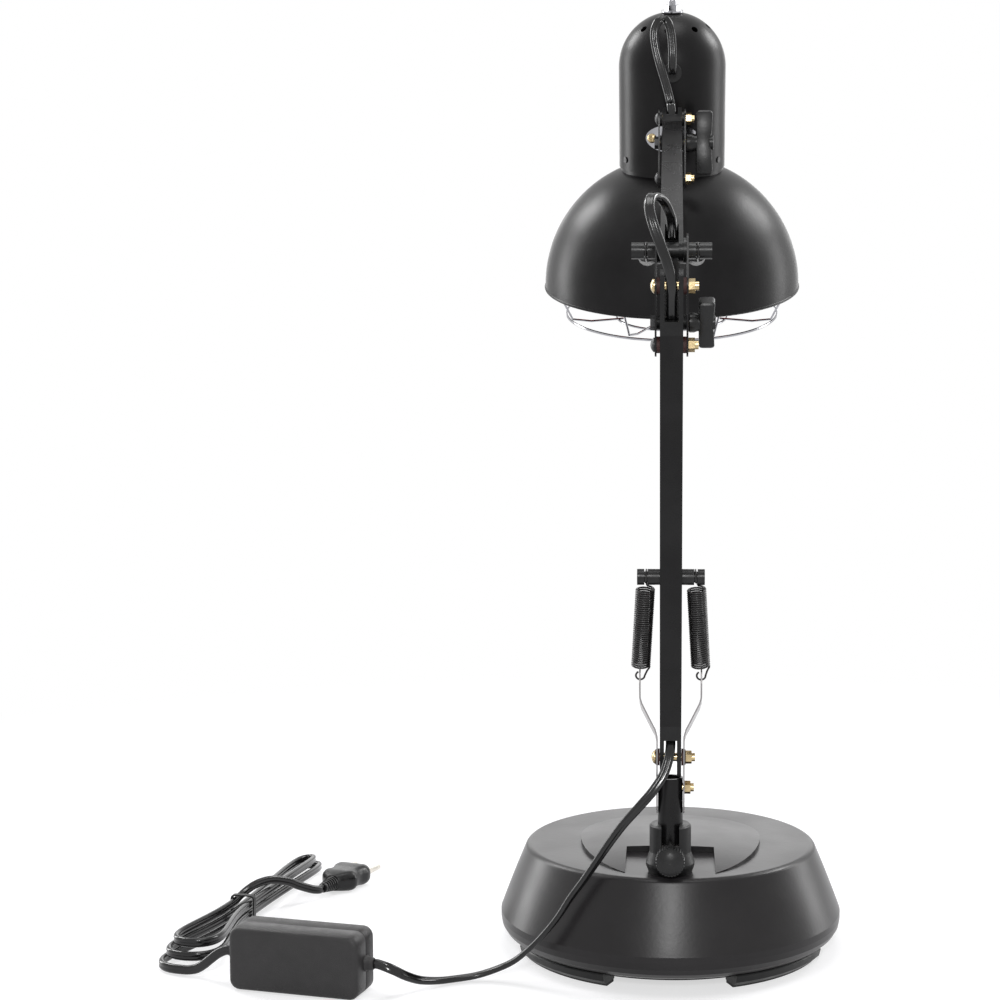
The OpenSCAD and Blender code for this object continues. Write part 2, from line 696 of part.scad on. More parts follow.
// The bolt that a wing knob clamps, with its hexagonal head on the far plate
module clamp_bolt() {
    across(bolt_r, -plate_out - 0.4, plate_out + knob_gap + bolt_reach);
    translate([-plate_out, 0, 0]) rotate([0, -90, 0]) cylinder(r = 4.2, h = 2.6, $fn = 6);
}
module elbow_knob() {
    translate(K) wing_knob(5.5, 5.6, 28, 9, 8.8, 28);
}

// ---------- upper arm and link ----------
rear_slot = 25;
rear_tube = 33;
front_slot = 10;
front_tip = 8.2;
module upper_tube() {
    color(BLACK) upper_frame() square_tube(rear_tube, upper_len - fork_tube, tube_w, tube_wall);
}
module upper_rear_fitting() {
    color(PLASTIC) upper_frame() fork(rear_tube, rear_slot, 6.4, pin_r + fit);
}
module upper_front_fitting() {
    color(PLASTIC) upper_frame() translate([0, 0, upper_len]) mirror([0, 0, 1])
        fork(fork_tube, front_slot, front_tip, bolt_r + fit);
}
link_pin_r = 3.4;
open_slack = 0.35;
module link_bar() {
    color(BLACK) upper_frame(K) difference() {
        union() {
            square_tube(8, upper_len - 8, link_w, tube_wall);
            for (z = [0, upper_len]) translate([0, 0, z]) across(link_w / 2, -link_w / 2, link_w / 2);
            translate([-link_w / 2, -link_w / 2, 0]) cube([link_w, link_w, 9]);
            translate([-link_w / 2, -link_w / 2, upper_len - 9]) cube([link_w, link_w, 9]);
        }
        across(bolt_r + fit, -20, 20);
        translate([0, 0, upper_len]) across(bolt_r + open_slack, -20, 20);
        translate([0, 0, link_pin_s]) across(link_pin_r + fit, -20, 20);
    }
}
module link_spring_pin() {
    color(PLASTIC) translate(link_pin) cross_pin(18.5, groove_x, link_pin_r, link_groove_r);
}

// ---------- head plates ----------
module head_plate(side) {
    plate(side,
        [[flat_point(U), 6.6], [flat_point(V), 6.6], [flat_point(T), 6.6]],
        [[flat_point(U), bolt_r + fit], [flat_point(V), bolt_r + fit], [flat_point(T), bolt_r + fit]]);
}
module head_plate_left() {
    color(BLACK) head_plate(-1);
}
module head_plate_right() {
    color(BLACK) head_plate(1);
}
module head_bolts() {
    color(BRASS) {
        translate(U) bolt(-plate_out, plate_out, bolt_r, 4);
        translate(V) bolt(-plate_out, plate_out, bolt_r, 4);
        translate(T) clamp_bolt();
    }
    color(PLASTIC) for (s = [0, 1]) mirror([s, 0, 0]) {
        translate(U) washer(half_tube + pass, plate_x - 0.02, 5, bolt_r + fit);
        translate(V) washer(spacer_x, plate_x - 0.02, 4.2, bolt_r + fit);
    }
}
module head_knob() {
    translate(T) wing_knob(6.4, 6.6, 42, 9.5, 11.2, 0);
}

// ---------- head ----------
// Bracket: an oval flange bent to the cap's wall with a folded tongue on the tilt bolt
flange_w = 36;
flange_h = 19;
flange_t = 1.2;
tongue_t = 1.6;
tongue_x = 4.4;
cap_gap = 0.05;
bracket_screw_x = 13.2;
module head_bracket() {
    color(STEEL) head_frame() {
        difference() {
            union() {
                intersection() {
                    difference() {
                        cylinder(r = cap_r + cap_gap + flange_t, h = 60, center = true, $fn = 128);
                        cylinder(r = cap_r + cap_gap, h = 80, center = true, $fn = 128);
                    }
                    translate([0, -cap_r + 12, 0]) rotate([90, 0, 0]) linear_extrude(30)
                        polygon([for (i = [0:35]) [flange_w / 2 * cos(10 * i), flange_h / 2 * sin(10 * i)]]);
                }
                for (s = [-1, 1]) translate([s * tongue_x - tongue_t / 2, 0, 0]) {
                    translate([0, -cap_r - bracket_reach, -6]) cube([tongue_t, bracket_reach - cap_gap, 12]);
                    translate([0, -cap_r - bracket_reach, 0]) rotate([0, 90, 0])
                        cylinder(r = 6, h = tongue_t);
                }
            }
            translate([0, -cap_r - bracket_reach, 0]) across(bolt_r + fit, -20, 20);
            for (s = [-1, 1]) bracket_screw_place(s) translate([0, 0, -10]) cylinder(r = 1.7, h = 20);
        }
    }
    color(PLASTIC) head_frame() translate([0, -cap_r - bracket_reach, 0]) for (s = [0, 1]) mirror([s, 0, 0])
        washer(tongue_x + tongue_t / 2 + 0.02, plate_x - pass, 5, bolt_r + fit);
}
// The two screws stand square to the cap's wall
module bracket_screw_place(s) {
    rotate(s * asin(bracket_screw_x / cap_r)) translate([0, -cap_r, 0]) rotate([90, 0, 0]) children();
}
module bracket_screws() {
    color(BRASS) head_frame() for (s = [-1, 1]) bracket_screw_place(s) {
        translate([0, 0, -5]) cylinder(r = 1.6, h = 5.6 + flange_t + cap_gap);
        translate([0, 0, flange_t + cap_gap + 0.05]) difference() {
            intersection() {
                cylinder(r = 3.2, h = 1.9);
                translate([0, 0, -2.6]) sphere(r = 4.5);
            }
            for (a = [0, 90]) rotate(a) translate([-2, -0.35, 0.9]) cube([4, 0.7, 2]);
        }
    }
}
vent_ring = 25;
vent_r = 2.4;
dome_start = cap_top - cap_r;
grommet_z = 44.4;
grommet_hole = 5;
fix_z = 7.2 - cap_skirt;
stud_r = 3;
// The cap's body: a straight wall under a round dome
module cap_body(r, low) {
    translate([0, 0, low]) cylinder(r = r, h = dome_start - low, $fn = 128);
    translate([0, 0, dome_start]) intersection() {
        sphere(r = r, $fn = 128);
        translate([0, 0, -0.01]) cylinder(r = r + 1, h = r + 1);
    }
}
module lamp_cap() {
    color(BLACK) head_frame() difference() {
        cap_body(cap_r, -cap_skirt);
        cap_body(cap_r - head_wall, -cap_skirt - 1);
        for (i = [0:vents - 1]) rotate(-97 + 360 * i / vents)
            translate([vent_ring, 0, cap_top - 9]) rotate([0, 34, 0])
                cylinder(r = vent_r, h = 24, center = true);
        translate([0, -cap_r + 5, grommet_z]) rotate([90, 0, 0]) cylinder(r = grommet_hole, h = 12);
        for (s = [-1, 1]) bracket_screw_place(s) translate([0, 0, -6]) cylinder(r = 1.65, h = 12);
        for (a = [30, 150, 270]) rotate(180 + a) translate([cap_r, 0, fix_z]) rotate([0, 90, 0])
            cylinder(r = 1.7, h = 10, center = true);
        cylinder(r = stud_r + fit, h = 120);
    }
}
module cap_screws() {
    color([0.12, 0.12, 0.12]) head_frame() for (a = [30, 150, 270]) rotate(180 + a)
        translate([0, 0, fix_z]) rotate([0, 90, 0]) {
            translate([0, 0, cap_r - 5]) cylinder(r = 1.6, h = 5.4);
            translate([0, 0, cap_r + 0.05]) cylinder(r = 2.1, h = 0.7);
        }
}
module cap_finial() {
    color(STEEL) head_frame() {
        translate([0, 0, holder_top + 0.05]) cylinder(r = stud_r, h = cap_top - holder_top + 6.5);
        translate([0, 0, cap_top + 0.02]) difference() {
            cylinder(r = 7.6, h = 1);
            translate([0, 0, -1]) cylinder(r = stud_r + fit, h = 4);
        }
        translate([0, 0, cap_top + 1.05]) difference() {
            cylinder(r = 5.4, h = 3.4, $fn = 6);
            translate([0, 0, -1]) cylinder(r = stud_r + fit, h = 8);
        }
        translate([0, 0, cap_top + 6.5]) intersection() {
            cylinder(r = stud_r, h = 3);
            translate([0, 0, -0.8]) sphere(r = stud_r + 0.4);
        }
    }
}
module cable_grommet() {
    color([0.06, 0.06, 0.06]) head_frame() translate([0, -cap_r, grommet_z]) rotate([90, 0, 0]) {
        translate([0, 0, 0.1]) cylinder(r = 6.3, h = 2.5);
        translate([0, 0, -2.6]) cylinder(r = grommet_hole - 0.05, h = 3);
    }
}
neck_r = cap_r - head_wall - 0.1;
neck_top = fix_z + 10;
// Height at which the bell's round surface meets the neck
shoulder_rise = sqrt(shade_r * shade_r - neck_r * neck_r);
bead_r = 1.1;
module lamp_shade() {
    color(BLACK) head_frame() difference() {
        union() {
            translate([0, 0, -rim_drop]) difference() {
                intersection() {
                    sphere(r = shade_r, $fn = 160);
                    cylinder(r = shade_r + 1, h = shoulder_rise);
                }
                sphere(r = shade_r - head_wall, $fn = 160);
                cylinder(r = neck_r - head_wall / 2, h = 2 * shade_r);
            }
            // Neck that goes up inside the cap
            translate([0, 0, shoulder_rise - rim_drop - head_wall]) difference() {
                cylinder(r = neck_r, h = neck_top + rim_drop + head_wall - shoulder_rise);
                translate([0, 0, -1]) cylinder(r = neck_r - head_wall, h = 2 * cap_d);
            }
            // Rolled rim
            translate([0, 0, -rim_drop]) rotate_extrude($fn = 128)
                translate([shade_r - head_wall / 2, 0]) circle(r = bead_r, $fn = 24);
        }
        for (a = [30, 150, 270]) rotate(180 + a) translate([cap_r, 0, fix_z]) rotate([0, 90, 0])
            cylinder(r = 1.7, h = 20, center = true);
    }
}
holder_top = 68;
holder_r = 21;
holder_low = 18;
module lampholder() {
    color([0.9, 0.88, 0.84]) head_frame() difference() {
        union() {
            translate([0, 0, holder_low]) cylinder(r = holder_r, h = 38);
            translate([0, 0, holder_low + 37])
                cylinder(r1 = holder_r - 3, r2 = 12, h = holder_top - holder_low - 37);
        }
        translate([0, 0, holder_low - 1]) cylinder(r = screw_r + fit, h = 27);
    }
}
screw_r = 13.2;
bulb_neck_z = 14;
module bulb_cap() {
    color(STEEL) head_frame() {
        translate([0, 0, bulb_neck_z + 0.1]) rotate_extrude() polygon(concat([[0, 0]],
            [for (i = [0:14]) [screw_r - (i % 2 == 0 ? 0 : 0.9), 1.4 * i]],
            [[9, 22], [5, 25], [5, 27], [0, 27]]));
    }
}
bulb_face = 17.5 - rim_drop;
bulb_wide = bulb_face + 26;
flare_top = shoulder_rise - rim_drop + 18.4;
glass_t = 1.3;
// Outline of the glass from its neck to the middle of its face, grown inwards by g
function glass_line(g) = concat(
    [[screw_r - 0.2 - g, bulb_neck_z], [16.5 - g, bulb_neck_z - 6],
     [19 - g, (bulb_neck_z - 6 + flare_top) / 2]],
    [for (i = [0:8]) let (k = i / 8)
        [lerp(20, bulb_d / 2 - 1.5, pow(k, 1.25)) - g, lerp(flare_top, bulb_wide, k)]],
    [[bulb_d / 2 - g, bulb_wide - 4], [bulb_d / 2 - g, bulb_wide - 9],
     [bulb_d / 2 - 2.5 - g, bulb_wide - 13 + g / 2]],
    [for (i = [0:8]) let (k = i / 8)
        [(bulb_d / 2 - 4 - g) * (1 - k), lerp(bulb_wide - 14, bulb_face, sin(90 * k)) + g]]);
module bulb_glass() {
    inside = glass_line(glass_t);
    color([0.75, 0.08, 0.05, 0.7]) head_frame() rotate_extrude($fn = 128)
        polygon(concat(glass_line(0), [for (i = [len(inside) - 1:-1:0]) inside[i]]));
}
// Guard: an outer and an inner ring on radial wires that hook over the rim from inside
guard_r = shade_r - 15;
guard_z = -rim_drop - 20;
guard_in_r = 40;
guard_in_z = guard_z - 3;
guard_hang = shade_r - 5.5;
guard_bend_r = guard_r - 14;
guard_wr = guard_wire / 2;
ring_wr = guard_wr * 1.15;
// One radial wire, from its hook inside the rim to the inner ring, on top of both rings
guard_way = [[guard_hang, 0, 3 - rim_drop], [guard_hang - 2, 0, -rim_drop - 3],
    [guard_r, 0, guard_z + ring_wr + guard_wr + 0.4], [guard_bend_r, 0, guard_in_z + guard_wire + 0.7],
    [guard_in_r - 2.5, 0, guard_in_z + guard_wire + 0.05]];
module wire_guard() {
    color(STEEL) head_frame() {
        translate([0, 0, guard_z]) rotate_extrude() translate([guard_r, 0]) circle(r = ring_wr);
        translate([0, 0, guard_in_z]) rotate_extrude() translate([guard_in_r, 0]) circle(r = guard_wr);
        for (i = [0:guard_wires - 1]) rotate(360 * (i + 0.5) / guard_wires)
            wire(guard_way, guard_wr, [0, 1, 0], 8);
    }
}
module guard_clips() {
    first = guard_hang + guard_wire / 2 + 0.05;
    color(STEEL) head_frame() for (i = [0:guard_wires / 2 - 1]) rotate(360 * (2 * i + 0.5) / guard_wires)
        intersection() {
            translate([first, -3.5, 1 - rim_drop]) cube([shade_r - first, 7, 5]);
            translate([0, 0, -rim_drop]) sphere(r = shade_r - head_wall - 0.05, $fn = 160);
        }
}

// ---------- cables ----------
ACROSS = [1, 0, 0];
UPRIGHT = [0, 0, 1];
// Routes: points chosen by hand, in millimetres
ELBOW_ROUTE = [[0, -144, 387], [0, -146, 393], [0, -150, 402], [0, -157, 411], [-2, -162, 421],
    [-6, -165, 432], [-10, -165, 443], [-12, -162, 452], [-11, -156, 458], [-8, -149, 459],
    [-4, -143, 456], [-1, -138, 450], [0, -131, 445], [0, -122, 442], [0, -112, 440], [0, -103, 443]];
HEAD_ROUTE = [[0, 78, 523], [0, 84, 525.6], [0, 89, 530], [-1, 91, 540], [-4, 91, 552], [-8, 90, 565],
    [-11, 90, 577], [-12, 90, 587], [-9, 91, 594], [-4, 93, 594], [-1, 95, 586], [0, 96, 577],
    [0, 97, 569], [0, 99, 563]];
LEAD_ROUTE = [[0, -75.7, 146.8], [0, -78.4, 142], [-1, -82, 136], [-4, -85, 127], [-10, -88, 118],
    [-18, -90, 109], [-27, -91, 99], [-35, -90, 88], [-43, -89, 76], [-51, -88, 64], [-59, -88, 53],
    [-66, -88, 42], [-74, -88, 32], [-83, -86, 22], [-93, -83, 13], [-104, -80.5, 7], [-116, -81, 3.2],
    [-128, -85, 2.4], [-138, -91, 3.2], [-147, -99, 6.2], [-154.5, -106, 11], [-161.8, -110.3, 16.2]];
TAIL_ROUTE = [[-270, -85.3, 16.5], [-275, -83.6, 12.5], [-280, -81.6, 8.2], [-285, -79.6, 5],
    [-290, -77.9, 3.7]];
// From the hank's waist over its right-hand runs to the plug: along, across and up
END_ROUTE = [[-8, -4, 18.5], [4, 0.5, 21.2], [15, 7, 21.2], [25, 14.5, 17.5], [31, 19.5, 13.5],
    [36, 24, 10.5], [40, 27.5, 8.4]];
box_yaw = -13.6;
box_at = [-217.3, -98.4, 0];
function box_point(x, y, z) = box_at
    + [x * cos(box_yaw) - y * sin(box_yaw), x * sin(box_yaw) + y * cos(box_yaw), z];
cord_z = box_h / 2;
gland_len = 5;
grommet_face = 2.65;
function head_point(y, z) = T + [0,
    (bracket_reach + cap_r + y) * cos(head_tilt) - z * sin(head_tilt),
    (bracket_reach + cap_r + y) * sin(head_tilt) + z * cos(head_tilt)];
module elbow_cable() {
    color(BLACK) flat_cord(ELBOW_ROUTE, ACROSS, ACROSS, ACROSS);
}
module head_cable() {
    near = head_point(-cap_r - grommet_face - 4, grommet_z + 1);
    face = head_point(-cap_r - grommet_face, grommet_z + 1);
    color(BLACK) flat_cord(concat(HEAD_ROUTE, [near, face]), ACROSS, ACROSS, ACROSS);
}
module cord_lead() {
    into = box_point(box_l / 2 + gland_len + 3, 0, cord_z);
    end = box_point(box_l / 2 + gland_len + 0.05, 0, cord_z);
    color(BLACK) flat_cord(concat(LEAD_ROUTE, [into, end]), ACROSS, [0, 1, 0], UPRIGHT, 0.74);
}
// The hank: loops drawn in at the waist and piled up, each climbing along its right-hand run.
// It stands on the cord's edge: a place in it is along, across and up.
hank_at = [-277, 42];
hank_turn = 81.6;
hank_half = 120;
near_lobe = 26;
far_lobe = 15;
hank_waist = 5;
waist_shift = -20;
hank_loops = 2.25;
hank_step = 6;
hank_layer = 6.4;
hank_low = 3.4;
hank_rings = 24;
function climb(k) = floor(k) + min(1, max(0, (k - floor(k) - 0.5) / 0.3));
function hank_loop(k) = let (a = 360 * k, lobe = (cos(a) > 0 ? near_lobe : far_lobe) - 0.6 * hank_step * k)
    [waist_shift * sin(a) * sin(a) - (hank_half - hank_step * k) * cos(a),
     -sin(a) * (hank_waist + (lobe - hank_waist) * 2 * cos(a) * cos(a)),
     hank_low + hank_layer * climb(k)];
plug_off = 11.6;
plug_at = [48, 31, 7.3];
hank_local = concat([for (i = [0:hank_loops * hank_rings]) hank_loop(i / hank_rings)], END_ROUTE,
    [plug_at - 4 * [cos(plug_off), sin(plug_off), 0], plug_at]);
hank_path = [for (q = hank_local)
    [hank_at[0] + q[0] * cos(hank_turn) + q[1] * sin(hank_turn),
     hank_at[1] + q[0] * sin(hank_turn) - q[1] * cos(hank_turn), q[2]]];
// Least gap between runs of the hank, from places at least a third of a loop apart
hank_gap = min([for (i = [0:len(hank_path) - 9]) for (j = [i + 8:len(hank_path) - 1])
    let (d = hank_path[i] - hank_path[j])
    max(abs(d[2]) - cord_w, norm([d[0], d[1]]) - cord_t)]);
echo(least_gaps = [wire_gap(lower_path, spring_wire), wire_gap(upper_path, spring_wire), hank_gap]);
module cord_tail() {
    start = box_point(-box_l / 2 - gland_len - 0.05, 0, cord_z);
    first = box_point(-box_l / 2 - gland_len - 3, 0, cord_z);
    color(BLACK) flat_cord(concat([start, first], TAIL_ROUTE, [hank_path[0]]), UPRIGHT, UPRIGHT, UPRIGHT);
}
module cord_hank() {
    color(BLACK) flat_cord(hank_path, UPRIGHT, UPRIGHT, UPRIGHT, 0.5, 6);
}
tie_w = 3.4;
tie_t = 0.45;
tie_half = hank_waist + cord_t / 2 + 1.5;
tie_top = 20.4;
module cord_tie() {
    color(PLASTIC) translate([hank_at[0], hank_at[1], 0]) rotate(hank_turn)
    translate([waist_shift, 0, 0]) difference() {
        translate([-tie_w / 2, -tie_half, 0.05]) cube([tie_w, 2 * tie_half, tie_top]);
        translate([-tie_w, -tie_half + tie_t, 0.05 + tie_t])
            cube([2 * tie_w, 2 * tie_half - 2 * tie_t, tie_top - 2 * tie_t]);
    }
}

// ---------- switch box and plug ----------
corner_r = 6;
module round_slab(l, h, r, t) {
    linear_extrude(t) {
        square([l - 2 * r, h], center = true);
        square([l, h - 2 * r], center = true);
        for (x = [-1, 1], y = [-1, 1]) translate([x * (l / 2 - r), y * (h / 2 - r)]) circle(r = r);
    }
}
module box_frame() {
    translate(box_at + [0, 0, box_h / 2]) rotate([0, 0, box_yaw]) rotate([90, 0, 0]) children();
}
shell_t = 2;
module switch_half(depth) {
    difference() {
        union() {
            round_slab(box_l, box_h, corner_r, depth - 1.5);
            round_slab(box_l - 3, box_h - 3, corner_r - 1.5, depth);
        }
        translate([0, 0, -1])
            round_slab(box_l - 2 * shell_t, box_h - 2 * shell_t, corner_r - shell_t, depth + 1 - shell_t);
    }
}
module switch_back() {
    color(PLASTIC) box_frame() {
        difference() {
            translate([0, 0, 0.05]) switch_half(box_t / 2);
            for (s = [-1, 1]) translate([s * (box_l / 2 + 0.5) - 3, -3.05, -0.1]) cube([6, 6.1, 4.5]);
        }
    }
}
wheel_x = 16;
wheel_r = wheel_d / 2;
module switch_front() {
    color(PLASTIC) box_frame() difference() {
        union() {
            mirror([0, 0, 1]) switch_half(box_t / 2);
            for (s = [-1, 1]) translate([s > 0 ? box_l / 2 - shell_t : -box_l / 2 - gland_len, -3, -4])
                cube([gland_len + shell_t, 6, 8.2]);
        }
        translate([wheel_x, 0, -box_t / 2 - 1]) cylinder(r = 4, h = 6);
    }
}
module dimmer_wheel() {
    color([0.16, 0.16, 0.17]) box_frame() translate([wheel_x, 0, -box_t / 2]) mirror([0, 0, 1]) {
        translate([0, 0, -6]) cylinder(r = 4 - fit, h = 7);
        translate([0, 0, 0.3]) difference() {
            cylinder(r = wheel_r, h = 6);
            for (i = [0:23]) rotate(15 * i)
                translate([wheel_r + 0.5, 0, -1]) cylinder(r = 1.1, h = 8, $fn = 16);
            translate([-0.8, wheel_r * 0.3, 5.2]) cube([1.6, wheel_r * 0.5, 2]);
        }
    }
}
plug_turn = hank_turn - plug_off;
plug_back = hank_path[len(hank_path) - 1];
plug_gap = 0.05;
module plug_frame() {
    translate(plug_back) rotate([0, 0, plug_turn]) rotate([0, 90, 0]) children();
}
plug_l = 44;
relief_l = 14;
pin_gap = 18.6;
module plug_body() {
    color(PLASTIC) plug_frame() translate([0, 0, plug_gap]) {
        intersection() {
            translate([-7, -20, relief_l - 1]) cube([14, 40, plug_l - relief_l + 1]);
            rotate([0, 90, 0]) translate([0, 0, -7]) linear_extrude(14)
                polygon([[-relief_l + 1, -6], [-relief_l - 7, -14], [-plug_l + 4, -14], [-plug_l, -12.6],
                    [-plug_l, 12.6], [-plug_l + 4, 14], [-relief_l - 7, 14], [-relief_l + 1, 6]]);
        }
        cylinder(r1 = 3.4, r2 = 5.4, h = relief_l);
    }
}
module plug_pins() {
    color(BRASS) plug_frame() for (s = [-1, 1]) translate([0, s * pin_gap / 2, plug_l + plug_gap * 2]) {
        cylinder(r = 2, h = 17.4);
        translate([0, 0, 17]) sphere(r = 2);
    }
}

base_shell();
base_cover();
base_weight();
base_feet();
base_screws();
post_socket();
clamp_block();
thumb_screw();
post_tube();
spring_strip_left();
spring_strip_right();
post_bolt();
pivot_bolt();
lower_tube();
lower_foot_fitting();
lower_top_fitting();
lower_spring_pin();
lower_spring_left();
lower_spring_right();
elbow_plate_left();
elbow_plate_right();
elbow_pin();
elbow_bolts();
elbow_knob();
upper_tube();
upper_rear_fitting();
upper_front_fitting();
link_bar();
link_spring_pin();
upper_spring_left();
upper_spring_right();
head_plate_left();
head_plate_right();
head_bolts();
head_knob();
head_bracket();
bracket_screws();
lamp_cap();
cap_screws();
cap_finial();
cable_grommet();
lamp_shade();
lampholder();
bulb_cap();
bulb_glass();
wire_guard();
guard_clips();
elbow_cable();
head_cable();
cord_lead();
switch_back();
switch_front();
dimmer_wheel();
cord_tail();
cord_hank();
cord_tie();
plug_body();
plug_pins();
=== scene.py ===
import math
from math import acos, atan2, cos, pi, radians, sin, sqrt

import bmesh
import bpy
from mathutils import Matrix, Vector


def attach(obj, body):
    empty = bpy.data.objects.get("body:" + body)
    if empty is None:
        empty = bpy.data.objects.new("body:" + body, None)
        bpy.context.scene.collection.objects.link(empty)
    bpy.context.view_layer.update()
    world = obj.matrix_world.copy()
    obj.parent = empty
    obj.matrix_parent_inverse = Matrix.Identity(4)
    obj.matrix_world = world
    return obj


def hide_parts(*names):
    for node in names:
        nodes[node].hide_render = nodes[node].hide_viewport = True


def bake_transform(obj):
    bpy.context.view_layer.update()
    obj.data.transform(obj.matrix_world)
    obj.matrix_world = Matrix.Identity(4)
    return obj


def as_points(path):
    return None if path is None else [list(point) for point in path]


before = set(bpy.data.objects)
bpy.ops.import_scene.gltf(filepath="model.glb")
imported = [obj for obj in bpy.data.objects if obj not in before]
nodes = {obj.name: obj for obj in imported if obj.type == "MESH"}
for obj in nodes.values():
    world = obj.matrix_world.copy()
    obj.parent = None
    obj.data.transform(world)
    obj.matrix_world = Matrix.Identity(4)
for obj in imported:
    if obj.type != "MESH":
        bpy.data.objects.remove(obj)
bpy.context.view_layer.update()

scene = bpy.context.scene
MM = 0.001

# ---------- camera ----------
camera = bpy.data.objects.new("camera", bpy.data.cameras.new("camera"))
scene.collection.objects.link(camera)
camera.data.lens = 67.5
camera.data.sensor_width = 36
camera.data.shift_x = -0.11
camera.location = (0, -1.174, 0.374)
camera.rotation_euler = (radians(90 - 4.46), 0, radians(1.873))
scene.camera = camera


# ---------- mesh helpers ----------
def add_mesh(name, verts, faces, smooth=True):
    """A new object from points in millimetres, with its faces turned outwards."""
    mesh = bpy.data.meshes.new(name)
    mesh.from_pydata([Vector(v) * MM for v in verts], [], faces)
    mesh.update()
    b = bmesh.new()
    b.from_mesh(mesh)
    bmesh.ops.recalc_face_normals(b, faces=b.faces)
    b.to_mesh(mesh)
    b.free()
    for p in mesh.polygons:
        p.use_smooth = smooth
    obj = bpy.data.objects.new(name, mesh)
    scene.collection.objects.link(obj)
    return obj


def spline(points, steps=6):
    """A smooth line through the points, with that many steps between each two."""
    pts = [Vector(p) for p in points]
    pts = [pts[0] * 2 - pts[1]] + pts + [pts[-1] * 2 - pts[-2]]
    line = []
    for i in range(1, len(pts) - 2):
        a, b, c, d = pts[i - 1:i + 3]
        for k in range(steps):
            t = k / steps
            line.append(0.5 * (2 * b + (c - a) * t + (2 * a - 5 * b + 4 * c - d) * t * t
                               + (3 * b - a - 3 * c + d) * t ** 3))
    return line + [pts[-2].copy()]


def direction(path, i):
    """The way a path runs at one of its places."""
    return (path[min(i + 1, len(path) - 1)] - path[max(i - 1, 0)]).normalized()


def length_of(path):
    return sum((path[i] - path[i - 1]).length for i in range(1, len(path)))


def sweep(name, path, section, side):
    """A closed tube: the section's (across, up) points go round each place of the path.
    side(i, t) gives the direction of across at place i, where the path runs along t."""
    verts, faces = [], []
    n, m = len(path), len(section)
    for i, p in enumerate(path):
        t = direction(path, i)
        h = side(i, t)
        w = (h - h.dot(t) * t).normalized()
        f = t.cross(w)
        verts += [p + w * a + f * b for a, b in section]
    for i in range(n - 1):
        for j in range(m):
            k = (j + 1) % m
            faces.append((i * m + j, i * m + k, (i + 1) * m + k, (i + 1) * m + j))
    for ring, way in ((0, -1), (n - 1, 1)):
        verts.append(path[ring])
        c = len(verts) - 1
        for j in range(m):
            faces.append((ring * m + j, ring * m + (j + 1) % m, c)[::way])
    return add_mesh(name, verts, faces)


def circle(r, m):
    """Section of a round wire with m corners."""
    return [(r * cos(2 * pi * j / m), r * sin(2 * pi * j / m)) for j in range(m)]


def carried(w0):
    """Keeps one side direction along a path without twisting round it."""
    state = {"w": Vector(w0)}

    def side(i, t):
        w = state["w"]
        state["w"] = (w - w.dot(t) * t).normalized()
        return state["w"]
    return side


def hinted(*stops):
    """Side direction that goes from one direction to the next at the shares given."""
    def at(k):
        for (k0, a), (k1, b) in zip(stops, stops[1:]):
            if k <= k1:
                s = (k - k0) / (k1 - k0)
                s = s * s * (3 - 2 * s)
                return Vector(a).lerp(Vector(b), s)
        return Vector(stops[-1][1])
    return at


def revolve(name, line, m):
    """A solid of revolution about z from (r, z) points, from axis to axis or closed."""
    verts, faces, rings = [], [], []
    for r, z in line:
        if r < 1e-6:
            rings.append([len(verts)])
            verts.append((0, 0, z))
        else:
            rings.append(list(range(len(verts), len(verts) + m)))
            verts += [(r * cos(2 * pi * j / m), r * sin(2 * pi * j / m), z) for j in range(m)]
    for a, b in zip(rings, rings[1:]):
        for j in range(m):
            k = (j + 1) % m
            if len(a) == 1 and len(b) == 1:
                continue
            if len(a) == 1:
                faces.append((a[0], b[j], b[k]))
            elif len(b) == 1:
                faces.append((a[j], b[0], a[k]))
            else:
                faces.append((a[j], b[j], b[k], a[k]))
    return add_mesh(name, verts, faces)


def loft(name, rings):
    """A closed solid through rings of as many points each, capped with a fan at both ends."""
    verts = [p for r in rings for p in r]
    n, m = len(rings), len(rings[0])
    faces = [(i * m + j, i * m + (j + 1) % m, (i + 1) * m + (j + 1) % m, (i + 1) * m + j)
             for i in range(n - 1) for j in range(m)]
    for ring in (0, n - 1):
        verts.append(sum((Vector(p) for p in rings[ring]), Vector()) / m)
        faces += [(ring * m + j, ring * m + (j + 1) % m, len(verts) - 1) for j in range(m)]
    return add_mesh(name, verts, faces)


def rounded(w, h, r, steps):
    """Outline of a rounded rectangle, anticlockwise, with that many steps in each corner."""
    out = []
    for cx, cy, a0 in ((1, 1, 0), (-1, 1, 90), (-1, -1, 180), (1, -1, 270)):
        for k in range(steps + 1):
            a = radians(a0 + 90 * k / steps)
            out.append((cx * (w / 2 - r) + r * cos(a), cy * (h / 2 - r) + r * sin(a)))
    return out


def join(name, parts):
    """One object from several, each already in its place."""
    b = bmesh.new()
    mats = []
    for p in parts:
        p.data.transform(p.matrix_world)
        first = len(mats)
        mats += list(p.data.materials)
        start = len(b.faces)
        b.from_mesh(p.data)
        b.faces.ensure_lookup_table()
        for f in b.faces[start:]:
            f.material_index += first
        bpy.data.objects.remove(p)
    mesh = bpy.data.meshes.new(name)
    b.to_mesh(mesh)
    b.free()
    for m in mats:
        mesh.materials.append(m)
    obj = bpy.data.objects.new(name, mesh)
    scene.collection.objects.link(obj)
    return obj


def place(obj, matrix):
    """Moves a mesh that was made in millimetres by a matrix whose shift is in millimetres."""
    m = matrix.copy()
    m.translation = m.translation * MM
    obj.data.transform(m)
    return obj


def shade_by_angle(obj, angle):
    """Flat between faces that meet at more than the angle, smooth elsewhere."""
    mesh = obj.data
    for p in mesh.polygons:
        p.use_smooth = True
    mesh.set_sharp_from_angle(angle=radians(angle))
    return obj


# ---------- the sizes that the routes and frames share with the solids ----------
def turn_x(deg):
    return Matrix.Rotation(radians(deg), 4, "X")


